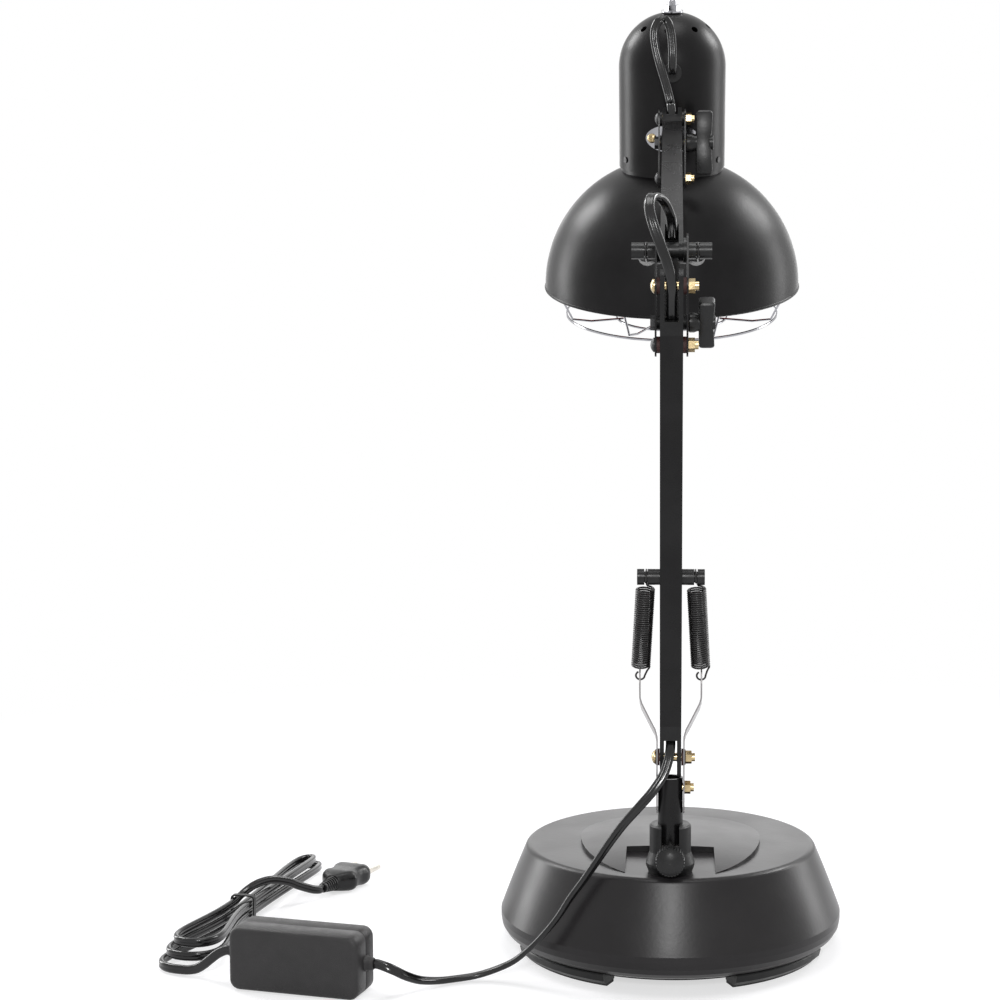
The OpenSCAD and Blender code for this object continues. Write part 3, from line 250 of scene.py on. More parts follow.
def turn_y(deg):
    return Matrix.Rotation(radians(deg), 4, "Y")


def shift(x, y, z):
    return Matrix.Translation((x, y, z))


# Lean of the lower arm, rise of the upper arm and tilt of the head, in degrees
LEAN, RISE, TILT = 16, 23.7, 16.5
# Cross axes: the arm's foot, the elbow's link bolt and pin, the yoke's pivot, the head's tilt
PIVOT_Y, PIVOT_Z = -72, 134.6
PIVOT = Vector((0, PIVOT_Y, PIVOT_Z))
K = Vector((0, -132.463, 391.173))
P = Vector((0, -132.463, 430.573))
U = Vector((0, 95.079, 530.457))
T = Vector((0, 105.079, 515.757))
LINK_DROP = 39.4
LINK_PIN = K + 100 * Vector((0, cos(radians(RISE)), sin(radians(RISE))))
HEAD_AHEAD = 53
PLATE_OUT = 9.2
CORD_W, CORD_T = 5.8, 3.4
X_AXIS, Y_AXIS, Z_AXIS = Vector((1, 0, 0)), Vector((0, 1, 0)), Vector((0, 0, 1))


def lower_place(x, y, s):
    """A place on the lower arm: across, forward of its middle, up along it from the foot."""
    a = radians(LEAN)
    return Vector((x, PIVOT_Y + y * cos(a) - s * sin(a), PIVOT_Z + y * sin(a) + s * cos(a)))


def head_place(y, z):
    """A place in the mid-plane of the head: forward of its axis and up along it."""
    a = radians(TILT)
    y += HEAD_AHEAD
    return T + Vector((0, y * cos(a) - z * sin(a), y * sin(a) + z * cos(a)))


BOX_AT, BOX_YAW = Vector((-217.3, -98.4, 0)), radians(-13.6)
BOX_LONG, BOX_HIGH, BOX_DEEP = 82, 38, 27
# Where the cord enters and leaves the box: face of the gland, a point further out, height
GLAND_FACE, GLAND_OUT, CORD_Z = 46.05, 49, 19


def box_place(x, y, z):
    """A place on the table from the switch box's own along, across and height."""
    return BOX_AT + Vector((x * cos(BOX_YAW) - y * sin(BOX_YAW),
                            x * sin(BOX_YAW) + y * cos(BOX_YAW), z))


def twin_section(steps=8):
    """Section of a flat twin cord: two round cores side by side, with a groove that is left
    where the arcs stop short of meeting."""
    r = CORD_T / 2
    c = CORD_W / 2 - r
    short = 7
    meet = math.degrees(acos(-c / r)) - short
    right = [radians(-meet + 2 * meet * k / steps) for k in range(steps + 1)]
    pts = [(c + r * cos(a), r * sin(a)) for a in right]
    return pts + [(-x, -y) for x, y in pts]


TWIN = twin_section()


def flat_cord(name, path, hints):
    """A flat cord whose broad side follows the hints, from the start to the end of the path."""
    n = len(path) - 1
    at = hinted(*hints)
    return sweep(name, path, TWIN, lambda i, t: at(i / n))


def steady(axis):
    """Hints for a cord whose broad side keeps one direction."""
    return [(0, axis), (1, axis)]


def metres(path):
    return [tuple(p * MM) for p in path]


# ---------- cords ----------
LEAD_ROUTE = [
    (0, -75.7, 146.8), (0, -78.4, 142), (-1, -82, 136), (-4, -85, 127), (-10, -88, 118),
    (-18, -90, 109), (-27, -91, 99), (-35, -90, 88), (-43, -89, 76), (-51, -88, 64), (-59, -88, 53),
    (-66, -88, 42), (-74, -88, 32), (-83, -86, 22), (-93, -83, 13), (-104, -80.5, 7), (-116, -81, 3.2),
    (-128, -85, 2.4), (-138, -91, 3.2), (-147, -99, 6.2), (-154.5, -106, 11), (-161.8, -110.3, 16.2)]
TAIL_ROUTE = [
    (-270, -85.3, 16.5), (-275, -83.6, 12.5), (-280, -81.6, 8.2), (-285, -79.6, 5), (-290, -77.9, 3.7)]
# The last stretch from the hank to the plug, in the hank's own place and turn
END_ROUTE = [
    (-8, -4, 18.5), (4, 0.5, 21.2), (15, 7, 21.2), (25, 14.5, 17.5), (31, 19.5, 13.5), (36, 24, 10.5),
    (40, 27.5, 8.4)]
ELBOW_ROUTE = [
    (0, -144, 387), (0, -146, 393), (0, -150, 402), (0, -157, 411), (-2, -162, 421), (-6, -164.6, 432),
    (-10, -164.6, 443), (-12, -162, 452), (-11, -156, 458), (-8, -149, 459), (-4, -143, 456),
    (-1, -138, 450), (0, -131, 445), (0, -122, 442), (0, -112, 440), (0, -103, 443)]
HEAD_ROUTE = [
    (0, 78, 523), (0, 84, 525.6), (0, 89, 530), (-1, 91, 540), (-4, 91, 552), (-8, 90, 565),
    (-11, 90, 577), (-11.8, 90, 587), (-9, 90.8, 594), (-4, 91.8, 594.6), (-1, 92.4, 587),
    (0, 92.7, 577), (0, 92.8, 570), (0, 93.6, 565.4), (0, 95.6, 562.8), (0, 98.4, 561.8)]
# Face of the grommet and height of the cable in it, in the head's own place
GROMMET_FACE, GROMMET_Z = -39.65, 45.4

lead_end = [box_place(GLAND_OUT, 0, CORD_Z), box_place(GLAND_FACE, 0, CORD_Z)]
lead_path = spline(LEAD_ROUTE + lead_end, 5)
mains_lead = flat_cord("mains_lead", lead_path, [(0, X_AXIS), (0.74, Y_AXIS), (1, Z_AXIS)])

# The hank's loops, drawn in at the waist and piled up, in the hank's own place and turn
HANK_AT, HANK_TURN = (-276.85, 42), radians(81.6)
HALF, NEAR, FAR, WAIST, WAIST_SHIFT = 120, 26, 15, 5, -20
LOOPS, STEP, LAYER, LOW = 2.25, 6, 6.4, 3.4
LOOP_STEPS = 72
# How much each loop narrows by its step, and how much its far end is rounded out
NARROWING, FAR_ROUND = 0.6, 0.38
PLUG_U, PLUG_V, PLUG_Z, PLUG_ANGLE = 48, 31, 7.3, radians(11.6)


def hank_world(u, v, z):
    """A place on the table from the hank's own along, across and height."""
    return Vector((HANK_AT[0] + u * cos(HANK_TURN) + v * sin(HANK_TURN),
                   HANK_AT[1] + u * sin(HANK_TURN) - v * cos(HANK_TURN), z))


def climb(k):
    """Layers climbed after k loops: one between the half and 0.8 of each loop."""
    return math.floor(k) + min(1, max(0, (k - math.floor(k) - 0.5) / 0.3))


def hank_loop(k):
    """The place that the cord has reached after k loops of the hank."""
    a = 2 * pi * k
    lobe = (NEAR if cos(a) > 0 else FAR) - NARROWING * STEP * k
    rise = sum(climb(k + d) for d in (-0.012, 0, 0.012)) / 3 if k > 0.02 else climb(k)
    along = cos(a) if cos(a) > 0 else cos(a) * (1 + FAR_ROUND * sin(a) ** 2)
    return hank_world(WAIST_SHIFT * sin(a) ** 2 - (HALF - STEP * k) * along,
                      -sin(a) * (WAIST + (lobe - WAIST) * 2 * cos(a) ** 2), LOW + LAYER * rise)


PLUG_TURN = HANK_TURN - PLUG_ANGLE
PLUG_BACK = hank_world(PLUG_U, PLUG_V, PLUG_Z)
loop_points = [hank_loop(i / LOOP_STEPS) for i in range(int(LOOPS * LOOP_STEPS) + 1)]
to_plug = [hank_world(*q) for q in END_ROUTE]
to_plug += [hank_world(PLUG_U - 4 * cos(PLUG_ANGLE), PLUG_V - 4 * sin(PLUG_ANGLE), PLUG_Z), PLUG_BACK]
tail_start = [box_place(-GLAND_FACE, 0, CORD_Z), box_place(-GLAND_OUT, 0, CORD_Z)]
tail_start += [Vector(p) for p in TAIL_ROUTE]
tail_path = spline(tail_start + [loop_points[0]], 5)[:-1] + loop_points[:-1]
tail_path += spline([loop_points[-1]] + to_plug, 5)
cord_and_hank = flat_cord("mains_cord_hank", tail_path, steady(Z_AXIS))

elbow_path = spline(ELBOW_ROUTE, 5)
elbow_loop = flat_cord("elbow_cable_loop", elbow_path, steady(X_AXIS))
into_head = [head_place(GROMMET_FACE - 4, GROMMET_Z), head_place(GROMMET_FACE, GROMMET_Z)]
head_line = spline(HEAD_ROUTE + into_head, 5)
# The head's cable is two pieces, because each can bend across one joint only
split = 15
head_start = flat_cord("head_cable_start", head_line[:split + 1], steady(X_AXIS))
head_loop = flat_cord("head_cable_loop", head_line[split:], steady(X_AXIS))
stub_path = spline([lower_place(0, 0.5, 30), lower_place(0, 0.3, 22), lower_place(0, 0, 16),
                    Vector(LEAD_ROUTE[0])], 4)
lead_stub = flat_cord("lead_stub", stub_path, steady(X_AXIS))

# ---------- materials ----------
def add_node(tree, kind, **values):
    """A shader node with the values of its inputs; _ stands for a space in an input's name."""
    n = tree.nodes.new("ShaderNode" + kind)
    for key, value in values.items():
        n.inputs[key.replace("_", " ")].default_value = value
    return n


def make_material(name, colour, rough=0.4, metal=0.0, vary=0.1, scale=60, grain=0.15,
                  grain_scale=900, rough_vary=0.08, coat=0.0, second=None, second_at=0.72,
                  stretch=None, level=0.5):
    """A procedural surface: slow colour drift, fine specks, uneven gloss and a fine bump."""
    m = bpy.data.materials.new(name)
    m.use_nodes = True
    t = m.node_tree
    t.nodes.clear()
    out = add_node(t, "OutputMaterial")
    shader = add_node(t, "BsdfPrincipled", Metallic=metal, Coat_Weight=coat, Coat_Roughness=0.12,
                      Specular_IOR_Level=level)
    coords = add_node(t, "TexCoord")
    source = coords.outputs["Object"]
    if stretch:
        mapping = add_node(t, "Mapping", Scale=stretch)
        t.links.new(source, mapping.inputs["Vector"])
        source = mapping.outputs["Vector"]
    slow = add_node(t, "TexNoise", Scale=scale, Detail=4.0, Roughness=0.55)
    t.links.new(source, slow.inputs["Vector"])
    ramp = add_node(t, "ValToRGB")
    dark = [c * (1 - vary) for c in colour]
    light = [min(1, c * (1 + vary) + 0.004) for c in colour]
    ramp.color_ramp.elements[0].position = 0.3
    ramp.color_ramp.elements[0].color = (*dark, 1)
    ramp.color_ramp.elements[1].position = 0.7
    ramp.color_ramp.elements[1].color = (*light, 1)
    if second:
        extra = ramp.color_ramp.elements.new(second_at)
        extra.color = (*second, 1)
    t.links.new(slow.outputs["Fac"], ramp.inputs["Fac"])
    t.links.new(ramp.outputs["Color"], shader.inputs["Base Color"])
    fine = add_node(t, "TexNoise", Scale=grain_scale, Detail=3.0, Roughness=0.6)
    t.links.new(source, fine.inputs["Vector"])
    gloss = add_node(t, "MapRange", From_Min=0.3, From_Max=0.7, To_Min=max(0.02, rough - rough_vary),
                     To_Max=rough + rough_vary)
    t.links.new(slow.outputs["Fac"], gloss.inputs["Value"])
    t.links.new(gloss.outputs["Result"], shader.inputs["Roughness"])
    bump = add_node(t, "Bump", Strength=grain, Distance=0.0004)
    t.links.new(fine.outputs["Fac"], bump.inputs["Height"])
    t.links.new(bump.outputs["Normal"], shader.inputs["Normal"])
    t.links.new(shader.outputs["BSDF"], out.inputs["Surface"])
    return m


base_paint = make_material("base_paint", (0.0075, 0.0064, 0.0071), 0.32, vary=0.2, scale=22,
    grain=0.10, grain_scale=420, rough_vary=0.04, level=0.30)
shade_paint = make_material("shade_paint", (0.0040, 0.0036, 0.0040), 0.35, vary=0.2, scale=26,
    grain=0.12, grain_scale=520, rough_vary=0.04, level=0.16)
tube_paint = make_material("tube_paint", (0.0045, 0.0042, 0.0045), 0.28, vary=0.22, scale=40,
    grain=0.12, grain_scale=800, rough_vary=0.05, level=0.2)
plate_paint = make_material("plate_paint", (0.0045, 0.0042, 0.0045), 0.30, vary=0.25, scale=90,
    grain=0.12, grain_scale=1000, level=0.2)
moulded = make_material("moulded_plastic", (0.006, 0.006, 0.0063), 0.40, vary=0.18, scale=120,
    grain=0.2, grain_scale=1500, level=0.25)
knob_plastic = make_material("knob_plastic", (0.007, 0.007, 0.0073), 0.32, vary=0.2, scale=140,
    grain=0.15, grain_scale=1300, level=0.3)
box_plastic = make_material("box_plastic", (0.016, 0.015, 0.0155), 0.46, vary=0.15, scale=110,
    grain=0.45, grain_scale=1900, level=0.4)
cord_pvc = make_material("cord_pvc", (0.004, 0.004, 0.0042), 0.18, vary=0.25, scale=70,
    grain=0.10, grain_scale=420, rough_vary=0.06, level=0.4)
spring_steel = make_material("black_spring_steel", (0.014, 0.013, 0.013), 0.30, metal=0.25,
    vary=0.3, scale=300, grain=0.2, grain_scale=2000)
zinc = make_material("zinc_plate", (0.46, 0.36, 0.20), 0.27, metal=1.0, vary=0.2, scale=260,
    grain=0.14, grain_scale=1500, second=(0.52, 0.46, 0.36))
strip_steel = make_material("zinc_strip", (0.26, 0.25, 0.25), 0.30, metal=1.0, vary=0.15,
    scale=160, grain=0.12, grain_scale=900, stretch=(1, 1, 0.25))
chrome = make_material("chrome", (0.36, 0.36, 0.38), 0.14, metal=1.0, vary=0.15, scale=90,
    grain=0.04, grain_scale=600, rough_vary=0.04)
cast_iron = make_material("cast_iron", (0.055, 0.053, 0.050), 0.75, metal=0.3, vary=0.35,
    scale=140, grain=0.9, grain_scale=1100)
rubber = make_material("rubber", (0.013, 0.013, 0.013), 0.8, vary=0.2, scale=200, grain=0.5,
    grain_scale=1600)
fibre_red = make_material("fibre_washer", (0.045, 0.010, 0.008), 0.6, vary=0.3, scale=700,
    grain=0.4, grain_scale=2500)
porcelain = make_material("porcelain", (0.78, 0.75, 0.68), 0.25, vary=0.04, scale=90, grain=0.05,
    grain_scale=500, coat=0.4)
bulb_metal = make_material("bulb_brass", (0.60, 0.50, 0.30), 0.3, metal=1.0, vary=0.15, scale=160,
    grain=0.12, grain_scale=1300)
pin_metal = make_material("nickel_pin", (0.64, 0.61, 0.55), 0.22, metal=1.0, vary=0.06, scale=300,
    grain=0.06, grain_scale=1500)
screw_black = make_material("black_screw", (0.02, 0.02, 0.021), 0.4, metal=0.5, vary=0.25,
    scale=500, grain=0.2, grain_scale=2200)
ruby = make_material("ruby_glass", (0.42, 0.012, 0.008), 0.16, vary=0.15, scale=45, grain=0.10,
    grain_scale=320, rough_vary=0.05, coat=0.6)


def paint(name, material, *rules):
    """Gives a carried-over node its material; each rule gives another one to the faces it picks."""
    obj = nodes[name]
    mesh = obj.data
    mesh.materials.clear()
    mesh.materials.append(material)
    picks = []
    for test, other in rules:
        mesh.materials.append(other)
        picks.append((test, len(mesh.materials) - 1))
    for p in mesh.polygons:
        p.material_index = 0
        for test, index in picks:
            if test(p.center / MM):
                p.material_index = index


BOLT_R, HEAD_R, HEAD_X = 2.52, 6, -9.15


def from_axis(c, at):
    return sqrt((c.y - at.y) ** 2 + (c.z - at.z) ** 2)


def near_axis(at, x0, x1, radius):
    """Faces of the washers on a cross bolt: between x0 and x1 either side of the mid-plane,
    from the bolt's own surface up to a radius."""
    def test(c):
        return x0 <= abs(c.x) <= x1 and BOLT_R <= from_axis(c, at) <= radius
    return test


def left_end(*places):
    """Faces of the heads on the left of the plates, round the cross axes given."""
    def test(c):
        return c.x < HEAD_X and any(from_axis(c, q) <= HEAD_R for q in places)
    return test


# More cross axes: the elbow's two bolts through the lower arm, the yoke's lower pivot
A = lower_place(0, 0, 287.2)
B = lower_place(0, 0, 254.1)
V = U - Vector((0, 0, LINK_DROP))
for name, material in {
    "base_shell": base_paint, "base_cover": moulded, "base_weight": cast_iron, "base_feet": rubber,
    "base_screws": zinc, "post_socket": moulded, "clamp_block": strip_steel,
    "thumb_screw": knob_plastic,
    "post_tube": tube_paint, "spring_strip_left": strip_steel, "spring_strip_right": strip_steel,
    "post_bolt": zinc, "lower_tube": tube_paint, "lower_foot_fitting": moulded,
    "lower_top_fitting": moulded, "lower_spring_pin": knob_plastic, "elbow_plate_left": plate_paint,
    "elbow_plate_right": plate_paint, "elbow_pin": knob_plastic, "upper_tube": tube_paint,
    "upper_rear_fitting": moulded, "upper_front_fitting": moulded, "link_bar": tube_paint,
    "link_spring_pin": knob_plastic, "head_plate_left": plate_paint, "head_plate_right": plate_paint,
    "bracket_screws": zinc, "lamp_cap": shade_paint, "cap_screws": screw_black, "cap_finial": chrome,
    "cable_grommet": rubber, "lamp_shade": shade_paint, "lampholder": porcelain, "bulb_cap": bulb_metal,
    "bulb_glass": ruby, "wire_guard": chrome, "guard_clips": chrome, "dimmer_wheel": knob_plastic,
}.items():
    paint(name, material)
paint("pivot_bolt", zinc, (near_axis(PIVOT, 6.4, 7.61, 5.1), fibre_red),
      (near_axis(PIVOT, 8.39, 9.01, 4.7), rubber))
paint("elbow_bolts", zinc, (near_axis(A, 6.3, 8.19, 5), fibre_red),
      (near_axis(B, 6.3, 8.19, 5), fibre_red), (near_axis(K, 4.8, 8.19, 5), moulded),
      (left_end(B, K), screw_black))
paint("head_bolts", zinc, (near_axis(U, 6.4, 8.19, 5.2), moulded),
      (near_axis(V, 4.8, 8.19, 4.4), moulded), (left_end(U, V, T), screw_black))
paint("head_bracket", chrome, (near_axis(T, 5.2, 8.1, 5.2), moulded))


def finish_piece(obj, material, slot_name, *replaced):
    """Material of a new piece, and the nodes that it stands for, which are hidden. slot_name is not
    used.
    """
    obj.data.materials.clear()
    obj.data.materials.append(material)
    if replaced:
        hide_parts(*replaced)
    return obj


# ---------- cables and cords: what they replace, and the hank on the base ---
finish_piece(mains_lead, cord_pvc, "cord_sheath", "cord_lead")
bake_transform(mains_lead)
finish_piece(lead_stub, cord_pvc, "cord_sheath")
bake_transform(lead_stub)
finish_piece(cord_and_hank, cord_pvc, "cord_sheath", "cord_tail", "cord_hank")
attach(cord_and_hank, "base")
finish_piece(elbow_loop, cord_pvc, "cord_sheath", "elbow_cable")
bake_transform(elbow_loop)
finish_piece(head_start, cord_pvc, "cord_sheath", "head_cable")
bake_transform(head_start)
finish_piece(head_loop, cord_pvc, "cord_sheath", "head_cable")
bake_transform(head_loop)


# ---------- springs ----------
COIL_OUT, WIRE, DRAWN_WIRE = 11.5, 1.2, 1.15
# The lower springs' ends: distance from the mid-plane and up along the arm
STRIP_X, STRIP_S, PIN_X, PIN_S = 18, 50.2, 14.3, 116.2


def hook_angles(start):
    """Two thirds of a circle in 12 steps, from an angle in degrees."""
    return [radians(20 * i + start) for i in range(13)]


def bridge(a, b, lift):
    """A short smooth way from the end of one line to the start of the next."""
    middle = (a[-1] + b[0]) / 2 + Vector((0, 0, lift))
    return spline([a[-3], a[-1], middle, b[0], b[2]], 3)[3:10]


def coil_spring(name, span, z0, z1, curls, near, far, in_hole):
    """A close coil about z with an open loop at each end, as the solid has. in_hole: the near
    loop hooks through a strip's hole, and does not lie round a pin as the far loop does."""
    r = (COIL_OUT - WIRE) / 2
    steps = 14
    if in_hole:
        start = [Vector((near * sin(a), 0, near - near * cos(a) + 0.8)) for a in hook_angles(-150)]
    else:
        start = [Vector((0, near * cos(a), near * sin(a))) for a in hook_angles(-210)]
    a0 = 0 if in_hole else 90
    n = curls * steps + (steps // 4 if in_hole else 0)
    turns = []
    for i in range(n + 1):
        a = radians(a0 + 360 * i / steps)
        turns.append(Vector((r * cos(a), r * sin(a), z0 + (z1 - z0) * i / n)))
    end = [Vector((0, far * cos(a), span + far * sin(a))) for a in hook_angles(-30)]
    path = start[:-1] + bridge(start, turns, 0.4) + turns[1:-1] + bridge(turns, end, -0.4) + end[1:]
    side = carried((0, 1, 0) if in_hole else (1, 0, 0))
    return sweep(name, path, circle(DRAWN_WIRE / 2, 8), side)


hook_lean = math.degrees(atan2(STRIP_X - PIN_X, PIN_S - STRIP_S))
lower_span = math.hypot(STRIP_X - PIN_X, PIN_S - STRIP_S)
upper_way = LINK_PIN - P
upper_turn = math.degrees(atan2(upper_way.z, upper_way.y)) - 90
for side, tag in ((-1, "left"), (1, "right")):
    low = coil_spring("lower_balance_spring_" + tag, lower_span, 9.5, lower_span - 7.5, 36, 2.6, 4.2,
                      True)
    hooked = shift(side * STRIP_X, 0, STRIP_S) @ turn_y(-side * hook_lean)
    place(low, shift(*PIVOT) @ turn_x(LEAN) @ hooked)
    finish_piece(low, spring_steel, "dark_steel", "lower_spring_" + tag)
    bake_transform(low)
    up = coil_spring("upper_balance_spring_" + tag, upper_way.length, 15, 69, 40, 4.2, 3.6, False)
    place(up, shift(P.x + side * PIN_X, P.y, P.z) @ turn_x(upper_turn))
    finish_piece(up, spring_steel, "dark_steel", "upper_spring_" + tag)
    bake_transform(up)


# ---------- wing knobs ----------
KNOB_BORE, BOLT_IN = 2.56, 5.2
# Outline of a wing along its half length: share of it, share of width and thickness, sink
WING = ((-1, 0.80, 0.72, 0.14), (-0.965, 0.90, 0.90, 0.05), (-0.9, 1, 1, 0), (-0.28, 0.96, 0.95, 0),
        (-0.12, 0.90, 0.84, 0), (0.12, 0.90, 0.84, 0), (0.28, 0.96, 0.95, 0), (0.9, 1, 1, 0),
        (0.965, 0.90, 0.90, 0.05), (1, 0.80, 0.72, 0.14))


def wing_knob(name, at, hub_r, hub_len, length, width, thick, turn, replaced, body):
    """A moulded wing on a round hub that takes the end of a bolt."""
    x0 = PLATE_OUT + 0.2
    neck_r = hub_r - 0.7
    hub = revolve(name + "_hub", [(KNOB_BORE, BOLT_IN), (KNOB_BORE, 0), (hub_r - 0.6, 0), (hub_r, 0.6),
                                  (hub_r, hub_len * 0.55), (neck_r, hub_len - 0.8),
                                  (neck_r, hub_len + 0.6), (0, hub_len + 0.6), (0, BOLT_IN),
                                  (KNOB_BORE, BOLT_IN)], 40)
    place(shade_by_angle(hub, 40), shift(x0, 0, 0) @ turn_y(90))
    rings = []
    for k, w, t, near in WING:
        mid = x0 + hub_len + thick * (near + t / 2)
        rings.append([(mid + b, a, k * length / 2) for a, b in rounded(width * w, thick * t, 0.9, 3)])
    wing = shade_by_angle(loft(name + "_wing", rings), 24)
    place(wing, turn_x(turn))
    boss = revolve(name + "_boss", [(0, -2), (hub_r - 1.6, -2), (hub_r - 1.6, 0.5), (hub_r - 2.1, 0.8),
                                    (hub_r - 2.6, 0.35), (0, 0.35)], 32)
    place(shade_by_angle(boss, 40), shift(x0 + hub_len + thick - 0.15, 0, 0) @ turn_y(90))
    knob = join(name, [hub, wing, boss])
    place(knob, shift(*at))
    finish_piece(knob, knob_plastic, "plastic", replaced)
    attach(knob, body)


wing_knob("elbow_wing_knob", K, 5.5, 5.6, 28, 9, 8.8, 28, "elbow_knob", "elbow_clamp")
wing_knob("head_wing_knob", T, 6.4, 6.6, 42, 9.5, 11.2, 0, "head_knob", "head_clamp")


# ---------- switch box ----------
def box_half(name, sign):
    """One moulded shell as a solid half: rounded face, thin lip at the parting line."""
    depth = BOX_DEEP / 2
    rings = []
    for z, inset, r in ((0.06, 0.35, 5.7), (0.5, 0, 6.0), (depth - 2.4, 0.15, 5.9),
                        (depth - 1.1, 0.75, 5.6), (depth - 0.35, 1.75, 5.0), (depth, 3.2, 4.2)):
        outline = rounded(BOX_LONG - 2 * inset, BOX_HIGH - 2 * inset, r, 6)
        rings.append([(a, b, sign * z) for a, b in outline])
    return shade_by_angle(loft(name, rings), 50)


box_turn = shift(BOX_AT.x, BOX_AT.y, CORD_Z) @ Matrix.Rotation(BOX_YAW, 4, "Z") @ turn_x(90)
back = box_half("switch_box_back", 1)
front_shell = box_half("switch_box_front_shell", -1)
glands = []
for s in (-1, 1):
    rings = []
    for x, w, h in ((39.5, 7.6, 9.6), (41.3, 7.4, 9.4), (41.8, 6.6, 8.4), (43.6, 6.0, 7.8),
                    (45.7, 5.2, 7.0), (46, 4.6, 6.4)):
        rings.append([(s * x, b, a) for a, b in rounded(w, h, min(w, h) * 0.42, 4)])
    glands.append(shade_by_angle(loft("gland", rings), 60))
front = join("switch_box_front", [front_shell] + glands)
for obj, replaced in ((back, "switch_back"), (front, "switch_front")):
    place(obj, box_turn)
    finish_piece(obj, box_plastic, "plastic", replaced)
    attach(obj, "base")


# ---------- plug ----------
plug_place = shift(*PLUG_BACK) @ Matrix.Rotation(PLUG_TURN, 4, "Z") @ turn_y(90)
rings = []
for z, w, t in ((13.2, 10.8, 10.8), (15, 13, 12), (18, 19, 13), (21.5, 25.6, 13.8), (24, 27.2, 14),
                (27, 24.6, 13.4), (31, 24.2, 13.2), (35, 25.2, 13.4), (38, 28, 14), (41.4, 28, 14),
                (43.2, 26.8, 13.2), (44, 25, 11.8)):
    rings.append([(b, a, z) for a, b in rounded(w, t, min(w, t) * 0.42, 6)])
grip = shade_by_angle(loft("plug_grip", rings), 60)
# The strain relief's six ribs grow towards the grip
relief_line = [(0, 0.05), (3.1, 0.05), (3.4, 0.4)]
for i in range(6):
    z = 1.2 + 2.05 * i
    r = 3.5 + 0.33 * i
    relief_line += [(r, z), (r, z + 1.15), (r - 0.75, z + 1.3), (r - 0.75, z + 1.95)]
relief_line += [(5.3, 13.4), (5.3, 14.4), (0, 14.4)]
relief = shade_by_angle(revolve("plug_relief", relief_line, 32), 40)
plug = join("mains_plug", [grip, relief])
place(plug, plug_place)
finish_piece(plug, knob_plastic, "plastic", "plug_body")
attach(plug, "base")
pins = []
for s in (-1, 1):
    pin = revolve("pin", [(0, 0), (2, 0), (2, 17), (1.9, 17.8), (1.5, 18.6), (0.8, 18.95),
                          (0, 19)], 28)
    pins.append(place(shade_by_angle(pin, 50), shift(0, s * 9.3, 44.1)))
pins = join("mains_plug_pins", pins)
place(pins, plug_place)
finish_piece(pins, pin_metal, "pin_metal", "plug_pins")
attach(pins, "base")

# ---------- tie round the hank's waist ----------
TIE_HALF, TIE_TOP, TIE_TURNS, TIE_STEPS, SQUARENESS = 7.6, 20.1, 2.2, 129, 0.32
ring = []
for k in range(TIE_STEPS + 1):
    a = 2 * pi * TIE_TURNS * k / TIE_STEPS - pi / 2
    c, s = cos(a), sin(a)
    v = (TIE_HALF + 0.35) * math.copysign(abs(c) ** SQUARENESS, c)
    z = 0.5 + TIE_TOP / 2 + (TIE_TOP / 2) * math.copysign(abs(s) ** SQUARENESS, s)
    ring.append((WAIST_SHIFT - 1.6 + 3.2 * k / TIE_STEPS + 0.5 * sin(3 * a), v, z))
along_hank = Vector((cos(HANK_TURN), sin(HANK_TURN), 0))
tie = sweep("hank_tie", [hank_world(*q) for q in ring],
            [(1.0, 0.45), (-1.0, 0.45), (-1.0, -0.45), (1.0, -0.45)], lambda i, t: along_hank)
finish_piece(shade_by_angle(tie, 40), moulded, "plastic", "cord_tie")
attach(tie, "base")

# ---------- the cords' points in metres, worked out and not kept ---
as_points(metres(lead_path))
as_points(metres(tail_path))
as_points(metres(elbow_path))
length_of(head_line[split:]) * MM
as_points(metres(head_line[split:]))


# ---------- studio ----------
def shader_tree(holder):
    """The empty node tree of a material or world."""
    holder.use_nodes = True
    holder.node_tree.nodes.clear()
    return holder.node_tree


def seen_directly(t):
    """One for camera, glossy and transmitted rays, nought for the light that falls on the lamp."""
    rays = add_node(t, "LightPath")
    total = rays.outputs["Is Camera Ray"]
    for kind in ("Is Glossy Ray", "Is Transmission Ray"):
        both = add_node(t, "Math")
        both.operation = "MAXIMUM"
        t.links.new(total, both.inputs[0])
        t.links.new(rays.outputs[kind], both.inputs[1])
        total = both.outputs[0]
    return total


def chosen(t, share, first, second):
    """A mix of two shaders by a share."""
    mix = add_node(t, "MixShader")
    t.links.new(share, mix.inputs[0])
    t.links.new(first.outputs[0], mix.inputs[1])
    t.links.new(second.outputs[0], mix.inputs[2])
    return mix


scene.world = bpy.data.worlds.new("studio_world")
t = shader_tree(scene.world)
out = add_node(t, "OutputWorld")
soft = add_node(t, "Background", Color=(0.97, 0.97, 1.0, 1), Strength=0.25)
white = add_node(t, "Background", Color=(1, 1, 1, 1), Strength=1.0)
t.links.new(chosen(t, seen_directly(t), soft, white).outputs[0], out.inputs["Surface"])

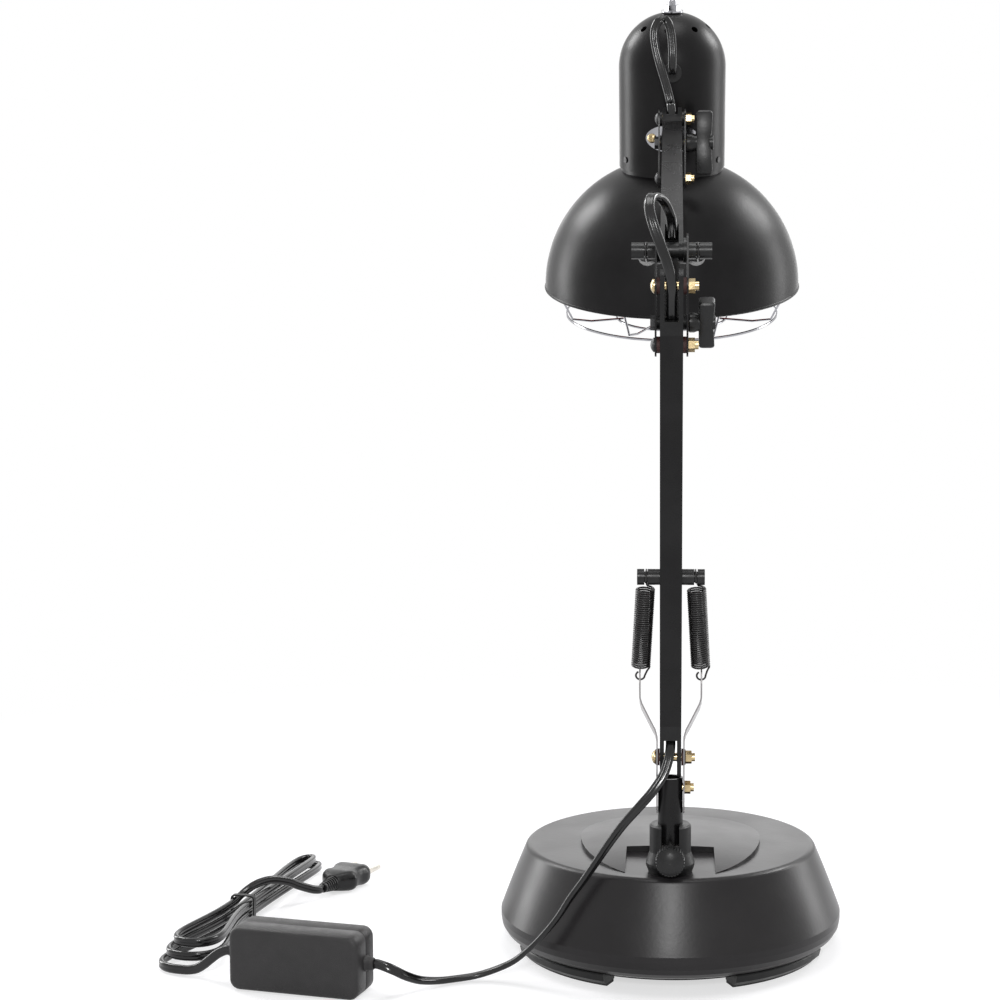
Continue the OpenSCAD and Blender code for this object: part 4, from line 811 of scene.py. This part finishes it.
# A floor that takes the lamp's shadow and fades into the white around it
FLOOR_R, FLOOR_STEPS = 5000, 96
rim = [(FLOOR_R * a, FLOOR_R * b, 0) for a, b in circle(1, FLOOR_STEPS)]
floor = add_mesh("floor", rim, [tuple(range(FLOOR_STEPS))], False)
floor.location.z = -0.0003
floor.data.materials.append(bpy.data.materials.new("floor_white"))
t = shader_tree(floor.data.materials[0])
out = add_node(t, "OutputMaterial")
plain = add_node(t, "BsdfDiffuse", Color=(0.80, 0.80, 0.81, 1))
pale = add_node(t, "BsdfDiffuse", Color=(0.46, 0.46, 0.47, 1))
glow = add_node(t, "Emission", Strength=0.62)
lit = add_node(t, "AddShader")
t.links.new(pale.outputs[0], lit.inputs[0])
t.links.new(glow.outputs[0], lit.inputs[1])
far_white = add_node(t, "Emission", Strength=1.0)
coords = add_node(t, "TexCoord")
reach = add_node(t, "VectorMath")
reach.operation = "LENGTH"
fade = add_node(t, "MapRange", From_Min=0.45, From_Max=1.0)
fade.interpolation_type = "SMOOTHSTEP"
t.links.new(coords.outputs["Object"], reach.inputs[0])
t.links.new(reach.outputs["Value"], fade.inputs["Value"])
edge = chosen(t, fade.outputs["Result"], lit, far_white)
shown = chosen(t, seen_directly(t), plain, edge)
t.links.new(shown.outputs[0], out.inputs["Surface"])


def softbox(name, at, aim, width, height, power):
    """A rectangular lamp in metres and watts that faces the point aimed at."""
    lamp = bpy.data.lights.new(name, "AREA")
    lamp.shape = "RECTANGLE"
    lamp.size, lamp.size_y = width, height
    lamp.energy = power
    obj = bpy.data.objects.new(name, lamp)
    scene.collection.objects.link(obj)
    obj.location = at
    obj.rotation_euler = (Vector(aim) - Vector(at)).to_track_quat("-Z", "Y").to_euler()


softbox("back_left", (-1.5, 1.0, 1.75), (0, 0.15, 0.42), 0.7, 0.7, 24)
softbox("back_right", (1.5, 1.0, 1.75), (0, 0.15, 0.42), 0.7, 0.7, 24)
softbox("side_left", (-2.0, 1.0, 0.7), (0, 0, 0.3), 0.6, 1.3, 20)
softbox("side_right", (2.0, 1.0, 0.7), (0, 0, 0.3), 0.6, 1.3, 14)
softbox("horizon", (0, 2.6, 0.8), (0, 0, 0.1), 2.4, 0.8, 7)
softbox("front_spot", (0.0, -1.75, 0.93), (0, 0, 0.1), 0.2, 0.2, 12)
softbox("above", (0, -0.2, 2.2), (0, 0, 0.2), 0.9, 0.9, 12)
scene.view_settings.view_transform = "Standard"

bpy.context.view_layer.update()
